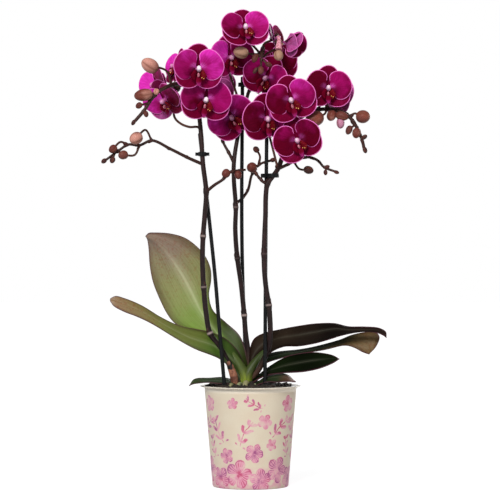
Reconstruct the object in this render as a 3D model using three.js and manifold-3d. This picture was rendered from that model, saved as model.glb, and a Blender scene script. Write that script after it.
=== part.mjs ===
// A potted moth orchid: three dark flower spikes tied to stakes, with blooms and buds over two ranks of
// strap leaves, growing in bark in a clear culture pot that hangs by its flange in a printed outer pot.
// Millimetres, +Z up. The origin is the middle of the outer pot's flat underside. The plant faces -Y, with
// +X to its right. Places are written [across, up, away]: X, Z and the depth behind the pot's middle.
import * as THREE from "three";
import { mergeVertices } from "three/addons/utils/BufferGeometryUtils.js";
import Module from "manifold-3d";

const wasm = await Module();
wasm.setup();
const { Manifold, Mesh } = wasm;
const { degToRad, lerp, smoothstep } = THREE.MathUtils;
const V = (x, y, z) => new THREE.Vector3(x, y, z);

// Driving dimensions
const GAP = 0.35;
const POT = { height: 100, footRadius: 38, rimRadius: 46, wall: 1.2, floor: 1.6, bead: 1.3, chamfer: 1 };
const CULTURE = { floorZ: 4, footRadius: 32, topRadius: 42.5, wall: 0.9 };
const FLANGE = { radius: 50.2, thick: 0.9, skirt: 2 };
const DRAINS = { count: 4, radius: 3.5, circle: 18 };
const BARK = { top: 91, dome: 3, clearance: 0.5, chips: 12, chipLength: 11, chipWidth: 7, chipDepth: 5 };
const CROWN = { x: -3, base: 80, top: 122, radius: 8 };
const ROOT_RADIUS = 2.6;
const STAKE_RADIUS = 1.9;
const STEM_RADIUS = 2.5;
const NODE = { length: 2.5, swell: 1.3 };
const TWIG_RADIUS = 1.4;
const STALK_RADIUS = 0.95;
const CLIP = { height: 4, wall: 1, tab: [4, 4, 3.2] };
const PETAL = { length: 27, width: 29, claw: 3.2, fullest: 1.12, blunt: 0.62, cup: 0.12, strips: 2 };
const SEPAL = { length: 26, width: 19, claw: 3.2, fullest: 1.0, blunt: 0.72, cup: 0.1, strips: 1 };
const TEPAL_THICK = 0.85;
const LIP = { length: 12.8, reach: 9.6, halfWidth: 4.4, thick: 0.9 };
const OVARY = { back: 6, radius: 1.5, flare: 3.2 };
const LEAF = { thick: 1.8, base: 6.5 };

// The plant is laid out as it looks from 2.3 m away; a place keeps its line of sight whatever its depth.
const EYE = { distance: 2300, height: 236 };
function place([across, up, away]) {
  const spread = 1 + away / EYE.distance;
  return V(across * spread, away, EYE.height + (up - EYE.height) * spread);
}

// Solids
function solid(geometry) {
  const shell = new THREE.BufferGeometry();
  const loose = geometry.index ? geometry.toNonIndexed() : geometry;
  shell.setAttribute("position", loose.getAttribute("position"));
  const merged = mergeVertices(shell, 1e-4);
  const vertProperties = new Float32Array(merged.attributes.position.array);
  const triVerts = new Uint32Array(merged.index.array);
  const made = new Manifold(new Mesh({ numProp: 3, vertProperties, triVerts }));
  if (made.volume() > 0) return made;
  return new Manifold(new Mesh({ numProp: 3, vertProperties, triVerts: triVerts.reverse() }));
}

function union(solids) {
  return solids.reduce((all, one) => all.add(one));
}

// What is left of a solid beside its neighbours, without the crumbs that the cut leaves.
function without(made, neighbours) {
  const bodies = neighbours.reduce((left, one) => left.subtract(one), made).decompose();
  return bodies.reduce((best, body) => (body.volume() > best.volume() ? body : best));
}

function geometryOf(made) {
  const mesh = made.getMesh();
  const geometry = new THREE.BufferGeometry();
  geometry.setAttribute("position", new THREE.BufferAttribute(new Float32Array(mesh.vertProperties), 3));
  geometry.setIndex(new THREE.BufferAttribute(new Uint32Array(mesh.triVerts), 1));
  return geometry;
}

function moved(made, object) {
  object.updateMatrixWorld(true);
  return solid(geometryOf(made).applyMatrix4(object.matrixWorld));
}

function lathe(profile, sides) {
  const outline = profile.map(([radius, z]) => new THREE.Vector2(radius, z));
  return solid(new THREE.LatheGeometry(outline, sides).rotateX(Math.PI / 2));
}

function ringAround(centre, right, up, radius, sides) {
  return Array.from({ length: sides }, (_, i) => {
    const turn = (2 * Math.PI * i) / sides;
    const rim = centre.clone().addScaledVector(right, radius * Math.cos(turn));
    return rim.addScaledVector(up, radius * Math.sin(turn));
  });
}

// A tube of one thickness along a smooth curve through the given points.
function tube(points, radius, sides, steps) {
  const corners = Array.from({ length: sides }, (_, i) => {
    const turn = (2 * Math.PI * i) / sides;
    return new THREE.Vector2(radius * Math.cos(turn), radius * Math.sin(turn));
  });
  const extrudePath = new THREE.CatmullRomCurve3(points, false, "centripetal");
  return solid(new THREE.ExtrudeGeometry(new THREE.Shape(corners), { steps, extrudePath }));
}

// A closed solid through rings of points, all wound the same way.
function loft(rings) {
  const count = rings[0].length;
  const faces = [];
  for (let i = 0; i + 1 < rings.length; i++) {
    for (let j = 0; j < count; j++) {
      const a = i * count + j;
      const b = i * count + ((j + 1) % count);
      faces.push(a, b, b + count, a, b + count, a + count);
    }
  }
  const last = (rings.length - 1) * count;
  for (let j = 1; j + 1 < count; j++) {
    faces.push(0, j + 1, j, last, last + j, last + j + 1);
  }
  const geometry = new THREE.BufferGeometry().setFromPoints(rings.flat());
  geometry.setIndex(faces);
  return solid(geometry);
}

// A strand bends at its own points, so that what starts at one is sunk in it. A bead is [point, radius].
function strand(beads, sides) {
  const right = V(0, 0, 0);
  const rings = beads.map(([centre, radius], i) => {
    const [before] = beads[Math.max(i - 1, 0)];
    const [after] = beads[Math.min(i + 1, beads.length - 1)];
    const along = after.clone().sub(before).normalize();
    if (i === 0) right.crossVectors(Math.abs(along.y) < 0.8 ? V(0, 1, 0) : V(1, 0, 0), along);
    right.projectOnPlane(along).normalize();
    return ringAround(centre, right, along.clone().cross(right), radius, sides);
  });
  return loft(rings);
}

// A thin blade: rows of points thickened along each row's face direction, split alike on both faces.
function blade(rows, faces, thick) {
  const cross = rows[0].length;
  const count = 2 * cross;
  const rings = rows.map((row, i) => {
    const front = row.map((p) => p.clone().addScaledVector(faces[i], thick / 2));
    const back = row.map((p) => p.clone().addScaledVector(faces[i], -thick / 2));
    return [...front, ...back.reverse()];
  });
  const triangles = [];
  const at = (i, j) => i * count + (j % count);
  for (let i = 0; i + 1 < rings.length; i++) {
    for (let j = 0; j < count; j++) {
      const [a, b, c, d] = [at(i, j), at(i, j + 1), at(i + 1, j + 1), at(i + 1, j)];
      triangles.push(...(j < cross ? [a, b, c, a, c, d] : [a, b, d, b, c, d]));
    }
  }
  const end = rings.length - 1;
  for (let j = 0; j + 1 < cross; j++) {
    const [a, b, c, d] = [j, j + 1, count - 2 - j, count - 1 - j];
    triangles.push(b, a, d, b, d, c);
    triangles.push(at(end, a), at(end, b), at(end, d), at(end, b), at(end, c), at(end, d));
  }
  const geometry = new THREE.BufferGeometry().setFromPoints(rings.flat());
  geometry.setIndex(triangles);
  return solid(geometry);
}

// Blooms, made once facing -Y: five tepals in two layers on the ovary's end, and the lip with its column.
const OUT = V(0, -1, 0);

function tepal({ form, stations, turn, layer, sweep }) {
  const axis = V(Math.sin(degToRad(turn)), 0, Math.cos(degToRad(turn)));
  const side = V(axis.z, 0, -axis.x);
  const rows = stations.map((s) => {
    const swell = Math.sin(Math.PI * Math.min(s, 0.985) ** form.fullest) ** form.blunt;
    const half = lerp(form.claw, form.width, swell) / 2;
    const reach = form.length * s;
    return Array.from({ length: form.strips + 1 }, (_, i) => {
      const t = (2 * i) / form.strips - 1;
      const lift = layer + reach * (sweep * s + 0.02) + form.cup * half * t * t;
      return axis.clone().multiplyScalar(reach).addScaledVector(side, half * t).addScaledVector(OUT, lift);
    });
  });
  return blade(rows, stations.map(() => OUT), TEPAL_THICK);
}

const SEPAL_STATIONS = [0, 0.3, 0.72, 1];
const PETAL_STATIONS = [0, 0.22, 0.52, 0.84, 1];

function tepals(closing) {
  const sepals = [0, 138, -138].map((turn) => ({ turn, sweep: 0.11 + closing }));
  const petals = [80, -80].map((turn) => ({ turn, sweep: 0.2 + closing }));
  return union([
    ...sepals.map((one) => tepal({ ...one, form: SEPAL, stations: SEPAL_STATIONS, layer: -1.6 })),
    ...petals.map((one) => tepal({ ...one, form: PETAL, stations: PETAL_STATIONS, layer: 0.6 })),
    strand([[V(0, OVARY.back, 0), OVARY.radius], [V(0, -1.5, 0), OVARY.flare]], 4),
  ]);
}

// The lip reaches forwards and down like an arrowhead, with a side lobe standing up beside the column.
function lip() {
  const tongue = [
    [0.1, 3.1, 1.5],
    [0.5, 7.4, LIP.halfWidth],
    [0.8, 9.2, 2.6],
    [1, LIP.reach, 0.5],
  ].map(([drop, ahead, half]) => [-1, 1].map((t) => V(half * t, -ahead, -drop * LIP.length)));
  const facing = V(0, -1, 0.8).normalize();
  const lobes = [-1, 1].map((hand) => {
    const lean = V(hand * 0.5, -0.86, 0);
    const rows = [
      [V(hand * 0.9, -4.4, 0.6), 1.2],
      [V(hand * 5.4, -7.4, 1.4), 3.0],
    ].map(([centre, half]) => [-1, 1].map((t) => centre.clone().addScaledVector(lean, half * t)));
    return blade(rows, rows.map(() => V(hand * 0.86, 0.5, 0)), LIP.thick);
  });
  const column = [
    [V(0, -2.4, -0.2), 1.5],
    [V(0, -5, 1), 2.3],
    [V(0, -8.4, 0.6), 1.7],
  ];
  return union([blade(tongue, tongue.map(() => facing), LIP.thick), ...lobes, strand(column, 4)]);
}

// Yaw turns a bloom to the viewer's right, pitch lifts its face, and roll turns it clockwise.
const BLOOMS = {
  left_front: { at: [-52.5, 417, -38], yaw: 10, pitch: -4, roll: 0, size: 1.0 },
  left_lower: { at: [-45, 386, -25], yaw: 6, pitch: -6, roll: 4, size: 1.02 },
  left_edge: { at: [-73, 419, 4], yaw: -72, pitch: 4, roll: 0, size: 0.8 },
  left_far: { at: [-98, 404, 20], yaw: -50, pitch: 0, roll: 10, size: 0.92 },
  left_hanging: { at: [-85, 386, -4], yaw: -34, pitch: -26, roll: -18, size: 0.9 },
  left_back: { at: [-38, 398, 34], yaw: 150, pitch: 6, roll: 0, size: 0.95 },
  middle_left: { at: [-21, 428, -5], yaw: 22, pitch: -4, roll: -4, size: 0.95 },
  top: { at: [-5.5, 460, -26], yaw: 8, pitch: 16, roll: 4, size: 0.98 },
  top_right: { at: [23, 448.5, 18], yaw: 76, pitch: 18, roll: 0, size: 0.86 },
  upper_right: { at: [24, 421, 37], yaw: 18, pitch: 0, roll: -20, size: 0.95 },
  middle: { at: [16, 408, -8], yaw: -16, pitch: -10, roll: 24, size: 0.95 },
  right_front: { at: [77.5, 397, -20], yaw: 4, pitch: 4, roll: 2, size: 0.93 },
  right_middle: { at: [41.5, 385.5, -30], yaw: -8, pitch: -4, roll: -16, size: 1.0 },
  right_lower: { at: [48, 345, -26], yaw: -12, pitch: -2, roll: -22, size: 0.98 },
  right_back: { at: [86, 388, 14], yaw: 118, pitch: -8, roll: 0, size: 0.92 },
  centre_right: { at: [16.5, 367, -11], yaw: 10, pitch: -8, roll: -8, size: 1.04 },
  centre_left: { at: [-18, 369, -2], yaw: -6, pitch: -14, roll: -34, size: 1.0 },
};

// The half-open flower is cupped forwards and still hides its lip.
const OPENING = { at: [39, 441, -14], yaw: 52, pitch: -30, roll: 20, size: 0.74 };
const CLOSING = 0.55;

function bloomStand({ at, yaw, pitch, roll, size }) {
  const stand = new THREE.Group();
  stand.position.copy(place(at));
  stand.rotation.set(-degToRad(pitch), degToRad(roll), degToRad(yaw), "ZXY");
  stand.scale.setScalar(size);
  stand.updateMatrixWorld(true);
  return stand;
}

// Flower spikes: each has its stem up to the tip, side twigs, buds on stalks, and where each bloom's stalk
// leaves it. Nodes are the joints of the stem, counted among its points.
const SPIKES = {
  left: {
    stem: [
      [-7, 104, -3], [-13, 110, -6], [-20, 117, -9],
      [-25, 128, -11.5], [-32, 139.5, -12.5], [-40.5, 153, -13.5],
      [-44.5, 174, -13.5], [-46.8, 199, -13.5], [-48, 224, -13], [-47.4, 250, -12.5], [-45.7, 271, -12],
      [-44.3, 294, -11.5], [-47.2, 319, -10], [-48.3, 332, -8.5],
      [-49.1, 348, -7], [-51, 368, -3], [-53, 386, 3],
      [-58, 396, 2], [-67, 401, -10], [-76, 402, -22],
      [-84, 399, -31], [-93.5, 393.5, -35], [-100.5, 385, -37],
      [-106, 376, -38], [-115.5, 365, -40],
    ],
    nodes: [5, 7, 9, 11],
    twigs: [
      [
        [-48.5, 322, -9], [-62, 328, -12], [-80, 337, -16], [-98.5, 345.5, -19], [-111, 340.7, -21],
        [-122.5, 341.4, -22], [-131, 336, -23], [-146, 325, -25],
      ],
      [
        [-44.5, 294, -11.5], [-36, 301, -15], [-27.6, 306.5, -18], [-20, 314, -17],
        [-12, 315.5, -15], [-5, 316.2, -13],
      ],
    ],
    buds: [
      {
        at: [-100.5, 420.5, -30], tip: [-0.8, 0.5, -0.1], size: [18, 14],
        stalk: [[-79, 401, -25], [-84, 415, -27]],
      },
      { at: [-107, 391, -40], tip: [-1, -0.15, -0.1], size: [18, 12], stalk: [[-94, 393, -35]] },
      { at: [-111.5, 380.5, -40], tip: [-0.8, -0.6, 0], size: [7, 6], stalk: [[-102, 383, -37]] },
      { at: [-104.5, 372, -42], tip: [0.3, -1, -0.3], size: [6.5, 5], stalk: [[-106, 377, -38]] },
      { at: [-117, 363.5, -40.5], tip: [-0.5, -0.8, 0], size: [6, 4], stalk: [[-113, 368, -39.5]] },
      {
        at: [-114.4, 347.8, -26], tip: [-0.7, -0.45, -0.3], size: [13.5, 12],
        stalk: [[-99, 346, -19], [-105, 356, -21]],
      },
      {
        at: [-127.3, 331, -27], tip: [-0.8, -0.2, -0.5], size: [10, 9],
        stalk: [[-111, 340.5, -21], [-116, 331, -24]],
      },
      {
        at: [-137.5, 337, -26], tip: [-0.6, -0.6, -0.3], size: [9, 8],
        stalk: [[-123, 341.4, -22], [-130, 344, -24]],
      },
      { at: [-138, 326, -26], tip: [-0.4, -0.9, 0], size: [6.5, 5.5], stalk: [[-136, 332, -23.5]] },
      { at: [-146.5, 325, -25], tip: [-0.8, -0.6, 0], size: [6, 4.6], stalk: [[-142, 328, -24.5]] },
      { at: [-24.5, 312.5, -19], tip: [-0.3, -0.6, -0.6], size: [9.5, 8.5], stalk: [[-20, 314, -17]] },
      { at: [-12.3, 311, -17], tip: [0.1, -0.9, -0.3], size: [8.5, 7.5], stalk: [[-12.5, 315.5, -15]] },
    ],
    stalks: {
      left_front: [-58, 396, 2],
      left_lower: [-51, 368, -3],
      left_edge: [-67, 401, -10],
      left_far: [-76, 402, -22],
      left_hanging: [-49.1, 348, -7],
      left_back: [-53, 386, 3],
    },
  },
  middle: {
    stem: [
      [-1, 112, 4], [-1, 120, 8], [-2, 132, 9.5], [-5, 154, 9.5],
      [-6.3, 171, 9], [-9.3, 201, 8], [-13.2, 228, 6],
      [-15.2, 256, 4], [-14.7, 279, 3], [-16.6, 306, 2], [-16.6, 323, 2], [-13.5, 345, 6], [-7.5, 371, 13],
      [-2.5, 392, 15], [2.5, 406, 14], [7.5, 420, 8], [11, 431, -2], [12.5, 438, -12], [12, 436, -20],
      [11, 428, -27], [10.5, 418, -30],
    ],
    nodes: [4, 6, 8],
    twigs: [
      [
        [-14.7, 279, 3], [-15, 282, 13], [-9, 287, 24], [-3, 295, 23], [1.5, 311.6, 8], [7, 320, 3],
        [13, 323.5, 4], [21, 325.5, 3],
      ],
      [[-16.6, 323, 2], [-21, 332, 3], [-27, 343, 6], [-31, 354, 8]],
    ],
    buds: [
      {
        at: [-9.5, 433.5, -24], tip: [-0.9, 0.1, -0.4], size: [15, 12],
        stalk: [[11.5, 432, -4], [2, 432, -14]],
      },
      {
        at: [28, 430.5, -29], tip: [0, -0.8, -0.5], size: [10.5, 9.5],
        stalk: [[12.5, 438, -12], [25, 443, -23]],
      },
      { at: [4.5, 428, -29], tip: [-0.4, -0.9, -0.3], size: [10, 6], stalk: [[11.5, 431, -24.5]] },
      { at: [18, 421.5, -30], tip: [0.8, -0.5, -0.3], size: [7, 5], stalk: [[11, 427, -27]] },
      { at: [10.5, 415.5, -31.5], tip: [0, -0.9, -0.4], size: [8, 6], stalk: [[10.7, 421, -29]] },
      { at: [5, 415.5, -31], tip: [-0.6, -0.8, 0], size: [7, 4], stalk: [[10.6, 420, -29]] },
      { at: [1.5, 318.5, 0.5], tip: [-0.3, 0.2, -0.9], size: [11.5, 10.5], stalk: [[6, 318, 3.5]] },
      {
        at: [5.7, 336.5, 1], tip: [-0.6, 0.6, -0.4], size: [7, 6],
        stalk: [[8.5, 321.5, 3.4], [9.4, 330, 2.5]],
      },
      { at: [22.5, 326, 3], tip: [1, 0.2, 0], size: [6, 4.5], stalk: [[17, 324.8, 3.5]] },
    ],
    stalks: {
      top: [11, 431, -2],
      top_right: [7.5, 420, 8],
      upper_right: [-2.5, 392, 15],
      middle: [2.5, 406, 14],
      middle_left: [-7.5, 371, 13],
      centre_left: [-13.5, 345, 6],
      opening: [12.5, 438, -12],
    },
  },
  right: {
    stem: [
      [1, 107, -3], [8, 116, -8], [14, 128, -11.5], [18.5, 140, -15.5], [19.8, 150, -19], [19.6, 164, -21],
      [18.4, 181, -21], [15.7, 197, -20.3], [13.9, 216, -19.2],
      [13.5, 232, -18], [14.1, 251, -17], [15, 271, -15.5],
      [15.4, 291, -14.5], [17, 302, -14], [22.6, 310, -13],
      [27.4, 317, -9], [31.5, 328, -2], [35.5, 341, 5],
      [39.5, 355, 7], [46, 365, 7], [56, 372, 3], [67.5, 376, -4], [76.5, 377, -9], [86.5, 375.5, -14],
      [96, 372, -18], [101.5, 366, -20], [106, 359, -21], [111.5, 346.5, -23], [113.7, 337, -24],
    ],
    nodes: [6, 9, 13],
    twigs: [
      [
        [27.4, 317, -9], [36, 321, -5], [44, 325, -5], [52, 328.3, -8], [60, 328.6, -11], [68, 325, -13],
        [73.3, 319, -15], [86, 314, -18],
      ],
      [[17, 302, -14], [11.5, 305, -13.5], [6, 312, -12]],
    ],
    buds: [
      {
        at: [64, 367, -23], tip: [-0.9, -0.35, -0.15], size: [19, 15],
        stalk: [[76, 376.8, -9], [74, 372, -18]],
      },
      { at: [81, 370.5, -18], tip: [-0.4, -0.9, -0.2], size: [11, 9.5], stalk: [[84, 376, -13]] },
      { at: [90, 363, -20], tip: [0, -1, -0.2], size: [11, 8], stalk: [[92, 373.5, -16]] },
      {
        at: [112.5, 369.3, -22], tip: [0.9, 0.1, -0.4], size: [14, 13],
        stalk: [[99, 369, -19], [104, 372.5, -20]],
      },
      { at: [99, 354, -25], tip: [-0.5, -0.8, -0.2], size: [7, 5.5], stalk: [[104.5, 361.5, -20.7]] },
      { at: [105, 352.5, -25], tip: [-0.2, -0.9, -0.2], size: [7, 5.5], stalk: [[107.5, 356, -21.5]] },
      { at: [114, 349, -23.5], tip: [0.7, 0.5, -0.2], size: [6, 4.5], stalk: [[110.8, 348.5, -22.8]] },
      { at: [114.5, 336, -24], tip: [0.3, -0.9, 0], size: [6.5, 4.5], stalk: [[113, 341, -23.5]] },
      {
        at: [58, 316, -15], tip: [0.9, -0.2, -0.2], size: [10, 8],
        stalk: [[43, 324.6, -5], [49, 317, -11]],
      },
      { at: [76.5, 319, -17], tip: [0.9, 0.3, -0.2], size: [5.5, 4], stalk: [[73.3, 319, -15]] },
      { at: [75, 313.5, -16.5], tip: [0.1, -1, -0.2], size: [5.5, 4], stalk: [[75.5, 317.8, -15.6]] },
      { at: [86, 313.8, -18], tip: [0.9, -0.3, 0], size: [5.5, 3.6], stalk: [[81, 315.7, -17]] },
      { at: [5.5, 312.5, -12], tip: [-0.4, 0.8, 0], size: [5.5, 4], stalk: [[8.5, 307.5, -12.8]] },
    ],
    stalks: {
      right_front: [76.5, 377, -9],
      right_middle: [39.5, 355, 7],
      right_lower: [31.5, 328, -2],
      right_back: [67.5, 376, -4],
      centre_right: [27.4, 317, -9],
    },
  },
};

const SMALL_BUD = 8;

function bud({ at, tip, size: [long, wide], stalk }) {
  const small = wide < SMALL_BUD;
  const shape = new THREE.SphereGeometry(1, small ? 4 : 6, small ? 3 : 4);
  const direction = V(tip[0], tip[2], tip[1]).normalize();
  const turn = new THREE.Quaternion().setFromUnitVectors(V(0, 1, 0), direction);
  shape.applyMatrix4(new THREE.Matrix4().compose(place(at), turn, V(wide / 2, long / 2, wide / 2)));
  const beads = [...stalk, at].map((one) => [place(one), STALK_RADIUS]);
  return solid(shape).add(strand(beads, 3));
}

// A bloom's stalk leaves the stem, swings round behind the bloom and stops just short of its ovary.
function bloomStalk(start, spot) {
  const stand = bloomStand(spot);
  const from = place(start);
  const neck = stand.localToWorld(V(0, 14, -1));
  const end = stand.localToWorld(V(0, OVARY.back + GAP, 0));
  const bend = from.clone().lerp(neck, 0.5).add(V(0, 2.5, 1.5));
  const curve = new THREE.CatmullRomCurve3([from, bend, neck, end], false, "centripetal");
  return strand(curve.getPoints(4).map((centre) => [centre, STALK_RADIUS]), 3);
}

// The stem tapers towards its tip and thickens at its nodes.
function stem({ stem: points, nodes }, grow = 0) {
  const places = points.map(place);
  const last = places.length - 1;
  const beads = places.flatMap((centre, i) => {
    const share = i / last;
    const taper = share < 0.6 ? lerp(1, 0.85, share / 0.6) : lerp(0.85, 0.45, (share - 0.6) / 0.4);
    const radius = STEM_RADIUS * taper + grow;
    if (!nodes.includes(i)) return [[centre, radius]];
    const along = places[i + 1].clone().sub(places[i - 1]).normalize();
    const beside = [-NODE.length, NODE.length].map((shift) => centre.clone().addScaledVector(along, shift));
    return [[beside[0], radius], [centre, radius * NODE.swell], [beside[1], radius]];
  });
  return strand(beads, 5);
}

function spike(plan) {
  const stalks = Object.entries(plan.stalks);
  return union([
    stem(plan),
    ...plan.twigs.map((points) => strand(points.map((one) => [place(one), TWIG_RADIUS]), 4)),
    ...plan.buds.map(bud),
    ...stalks.map(([name, start]) => bloomStalk(start, BLOOMS[name] ?? OPENING)),
  ]);
}

// Leaves: the midrib runs from the crown to the tip. Roll lifts the near edge, and fold lifts both halves
// like a gutter; each is given at the base and further out.
const LEAVES = {
  upright_left: {
    rib: [
      [-6, 112, 3], [-24, 132, 9], [-42, 146, 14], [-56, 160, 18], [-63, 176, 20], [-67, 196, 21],
      [-72, 212, 20], [-80, 227, 18], [-90, 238, 15], [-103, 250, 10],
    ],
    half: 29, widest: 0.58, blunt: 0.55, roll: [25, 72], fold: [58, 8],
  },
  long_left: {
    rib: [
      [-9, 112, -3], [-24, 121, -5], [-45, 131, -8], [-70, 143, -14], [-100, 162, -22], [-122, 175.5, -28],
      [-138.5, 185, -32],
    ],
    half: 20, widest: 0.5, blunt: 0.7, roll: [14, 10], fold: [60, 26],
  },
  upper_right: {
    rib: [
      [0, 118, 1], [5, 128, 4], [20, 136, 8], [32, 139, 10], [45, 139.5, 11], [64, 141.5, 12],
      [78, 143, 11], [92, 144.5, 9], [110, 148, 6], [127, 152, 3], [137, 147.5, 1],
    ],
    half: 22, widest: 0.42, blunt: 0.75, roll: [10, 24], fold: [60, 40],
  },
  second_right: {
    rib: [
      [2, 110, 2], [14, 122, 10], [32, 131, 18], [50, 136, 24], [70, 140, 28], [90, 144, 28],
      [106, 146, 25], [120, 143, 21], [124, 136, 19],
    ],
    half: 13, widest: 0.72, blunt: 0.5, roll: [-14, 66], fold: [50, 6],
  },
  lower_right: {
    rib: [[1, 106, -3], [12, 113, -5], [30, 118, -7], [50, 121.5, -11], [70, 124, -16], [89, 126, -20]],
    half: 20, widest: 0.52, blunt: 0.75, roll: [-10, -28], fold: [50, 4],
  },
  small_right: {
    rib: [[2, 100, -6], [14, 104, -14], [27, 107, -22], [38, 107, -27], [48, 103.5, -30]],
    half: 7, widest: 0.5, blunt: 0.75, roll: [-6, -18], fold: [40, 10],
  },
  drooping_left: {
    rib: [
      [-9, 100, -4], [-22, 103, -9], [-36, 104.4, -14], [-49, 104.6, -17], [-57, 103.6, -18],
      [-61.5, 100, -18],
    ],
    half: 8, widest: 0.5, blunt: 0.75, roll: [-8, -14], fold: [36, 4],
  },
};
const LEAF_STATIONS = [0, 0.1, 0.22, 0.36, 0.52, 0.68, 0.82, 0.94, 1];

function leaf({ rib, half, widest, blunt, roll, fold }, grow = 0) {
  const curve = new THREE.CatmullRomCurve3(rib.map(place), false, "centripetal");
  const rise = Math.log(0.5) / Math.log(widest);
  const faces = [];
  const rows = LEAF_STATIONS.map((share) => {
    const along = curve.getTangentAt(share);
    const near = V(along.y, -along.x, 0).normalize();
    if (near.y > 0) near.negate();
    const above = near.clone().cross(along);
    if (above.z < 0) above.negate();
    const tilt = degToRad(lerp(...roll, smoothstep(share, 0.05, 0.6)));
    const lift = degToRad(lerp(...fold, smoothstep(share, 0, 0.45)));
    const swell = Math.sin(Math.PI * Math.min(share, 0.99) ** rise) ** blunt;
    const wide = Math.max(LEAF.base * (1 - share) ** 2, 0.6) + (half - LEAF.base * 0.3) * swell + grow;
    const side = near.clone().multiplyScalar(Math.cos(tilt)).addScaledVector(above, Math.sin(tilt));
    const face = above.clone().multiplyScalar(Math.cos(tilt)).addScaledVector(near, -Math.sin(tilt));
    faces.push(face);
    return [-1, -0.5, 0, 0.5, 1].map((t) => {
      const point = curve.getPointAt(share).addScaledVector(side, wide * t * Math.cos(lift));
      return point.addScaledVector(face, wide * Math.abs(t) ** 1.3 * Math.sin(lift));
    });
  });
  return blade(rows, faces, LEAF.thick + 2 * grow);
}

// Crown and the roots that arch from it into the bark
const ROOTS = [
  [[-6, 92, -5], [-12, 99, -12], [-15, 97, -17], [-15.5, 84, -20]],
  [[-2, 90, -6], [-3, 98, -15], [-3.5, 96, -22], [-3, 82, -26]],
  [[3, 92, -3], [15, 99, -10], [22, 98, -15], [24, 84, -19]],
  [[2, 92, 5], [10, 99, 14], [14, 96, 22], [14, 82, 25]],
];

function crown(grow = 0) {
  const height = CROWN.top - CROWN.base;
  const rings = [
    [0, 0.55],
    [0.3, 1],
    [0.6, 1.05],
    [0.8, 0.7],
    [1, 0.25],
  ].map(([share, width]) => {
    const z = CROWN.base + share * height + (share ? grow : -grow);
    const radius = CROWN.radius * width + grow;
    return ringAround(V(CROWN.x, 0, z), V(1, 0, 0), V(0, 0.85, 0), radius, 8);
  });
  return union([loft(rings), ...ROOTS.map((points) => tube(points.map(place), ROOT_RADIUS + grow, 5, 4))]);
}

// Pots and bark
function outerPot() {
  const { height, footRadius, rimRadius, wall, floor, bead, chamfer } = POT;
  return lathe(
    [
      [0, 0],
      [footRadius - chamfer, 0],
      [footRadius, chamfer],
      [rimRadius, height - 2 * bead],
      [rimRadius + bead, height - bead],
      [rimRadius + bead, height],
      [rimRadius - wall, height],
      [footRadius - wall, floor],
      [0, floor],
    ],
    32,
  );
}

const SEAT = POT.height + GAP;

function culturePot() {
  const { floorZ, footRadius, topRadius, wall } = CULTURE;
  const cup = lathe(
    [
      [0, floorZ],
      [footRadius, floorZ],
      [topRadius, SEAT],
      [FLANGE.radius - wall, SEAT],
      [FLANGE.radius - wall, SEAT - FLANGE.skirt],
      [FLANGE.radius, SEAT - FLANGE.skirt],
      [FLANGE.radius, SEAT + FLANGE.thick],
      [topRadius - wall, SEAT + FLANGE.thick],
      [footRadius - wall, floorZ + wall],
      [0, floorZ + wall],
    ],
    32,
  );
  const drains = Array.from({ length: DRAINS.count }, (_, i) => {
    const turn = (2 * Math.PI * (i + 0.5)) / DRAINS.count;
    const hole = new THREE.CylinderGeometry(DRAINS.radius, DRAINS.radius, 4 * wall, 8).rotateX(Math.PI / 2);
    return solid(hole.translate(DRAINS.circle * Math.cos(turn), DRAINS.circle * Math.sin(turn), floorZ));
  });
  return drains.reduce((left, hole) => left.subtract(hole), cup);
}

// A repeatable draw, so that the chips lie the same way each time.
function drawer(seed) {
  let state = seed;
  return (low, high) => {
    state = (state * 1664525 + 1013904223) % 4294967296;
    return lerp(low, high, state / 4294967296);
  };
}

// Bark fills the culture pot and mounds up in loose chips, with holes where crown, roots and stakes go in.
function bark(neighbours) {
  const { footRadius, topRadius, wall, floorZ } = CULTURE;
  const inner = (z) => lerp(footRadius, topRadius, (z - floorZ) / (SEAT - floorZ)) - wall - BARK.clearance;
  const bottom = floorZ + wall + BARK.clearance;
  const plug = lathe(
    [
      [0, bottom],
      [inner(bottom), bottom],
      [inner(BARK.top), BARK.top],
      [0, BARK.top + BARK.dome],
    ],
    24,
  );
  const draw = drawer(7);
  const golden = 2.4;
  const chips = Array.from({ length: BARK.chips }, (_, i) => {
    const share = Math.sqrt((i + 0.5) / BARK.chips);
    const length = BARK.chipLength * draw(0.7, 1.2);
    const width = BARK.chipWidth * draw(0.7, 1.1);
    const chip = new THREE.BoxGeometry(length, width, BARK.chipDepth * draw(0.8, 1.2));
    chip.rotateX(draw(-0.4, 0.4)).rotateY(draw(-0.4, 0.4)).rotateZ(draw(0, 6.3));
    const reach = lerp(10, 32, share);
    const height = BARK.top + BARK.dome * (1 - share) + BARK.chipDepth * 0.3;
    return solid(chip.translate(reach * Math.cos(i * golden), reach * Math.sin(i * golden), height));
  });
  return without(union([plug, ...chips]), neighbours);
}

// Stakes and the clips that hold the stems to them
const STAKES = {
  left: [[-22, 40, -22], [-25.1, 98, -24.5], [-33, 150, -20], [-40.3, 279, -6.5], [-50.8, 352.5, 0.5]],
  middle: [[-3.5, 40, 17], [-4.2, 100, 16.8], [-8.5, 240, 15], [-8, 409, 22]],
  right: [[14.5, 40, -20], [14.5, 98, -20], [15.2, 240, -11], [16.2, 349, -3]],
};

function stake(points, grow = 0) {
  return tube(points.map(place), STAKE_RADIUS + grow, 8, 6);
}

const CLIPS = {
  left: { stem: [-48.3, 332, -8.5], stake: [-47.9, 332, -1.4], hole: 3 },
  middle: { stem: [1, 401.8, 14.3], stake: [-8, 401.8, 21.7], hole: 3.4 },
  right: { stem: [22.8, 310.5, -12.9], stake: [15.9, 310.5, -5.8], hole: 4.7 },
};

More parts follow.
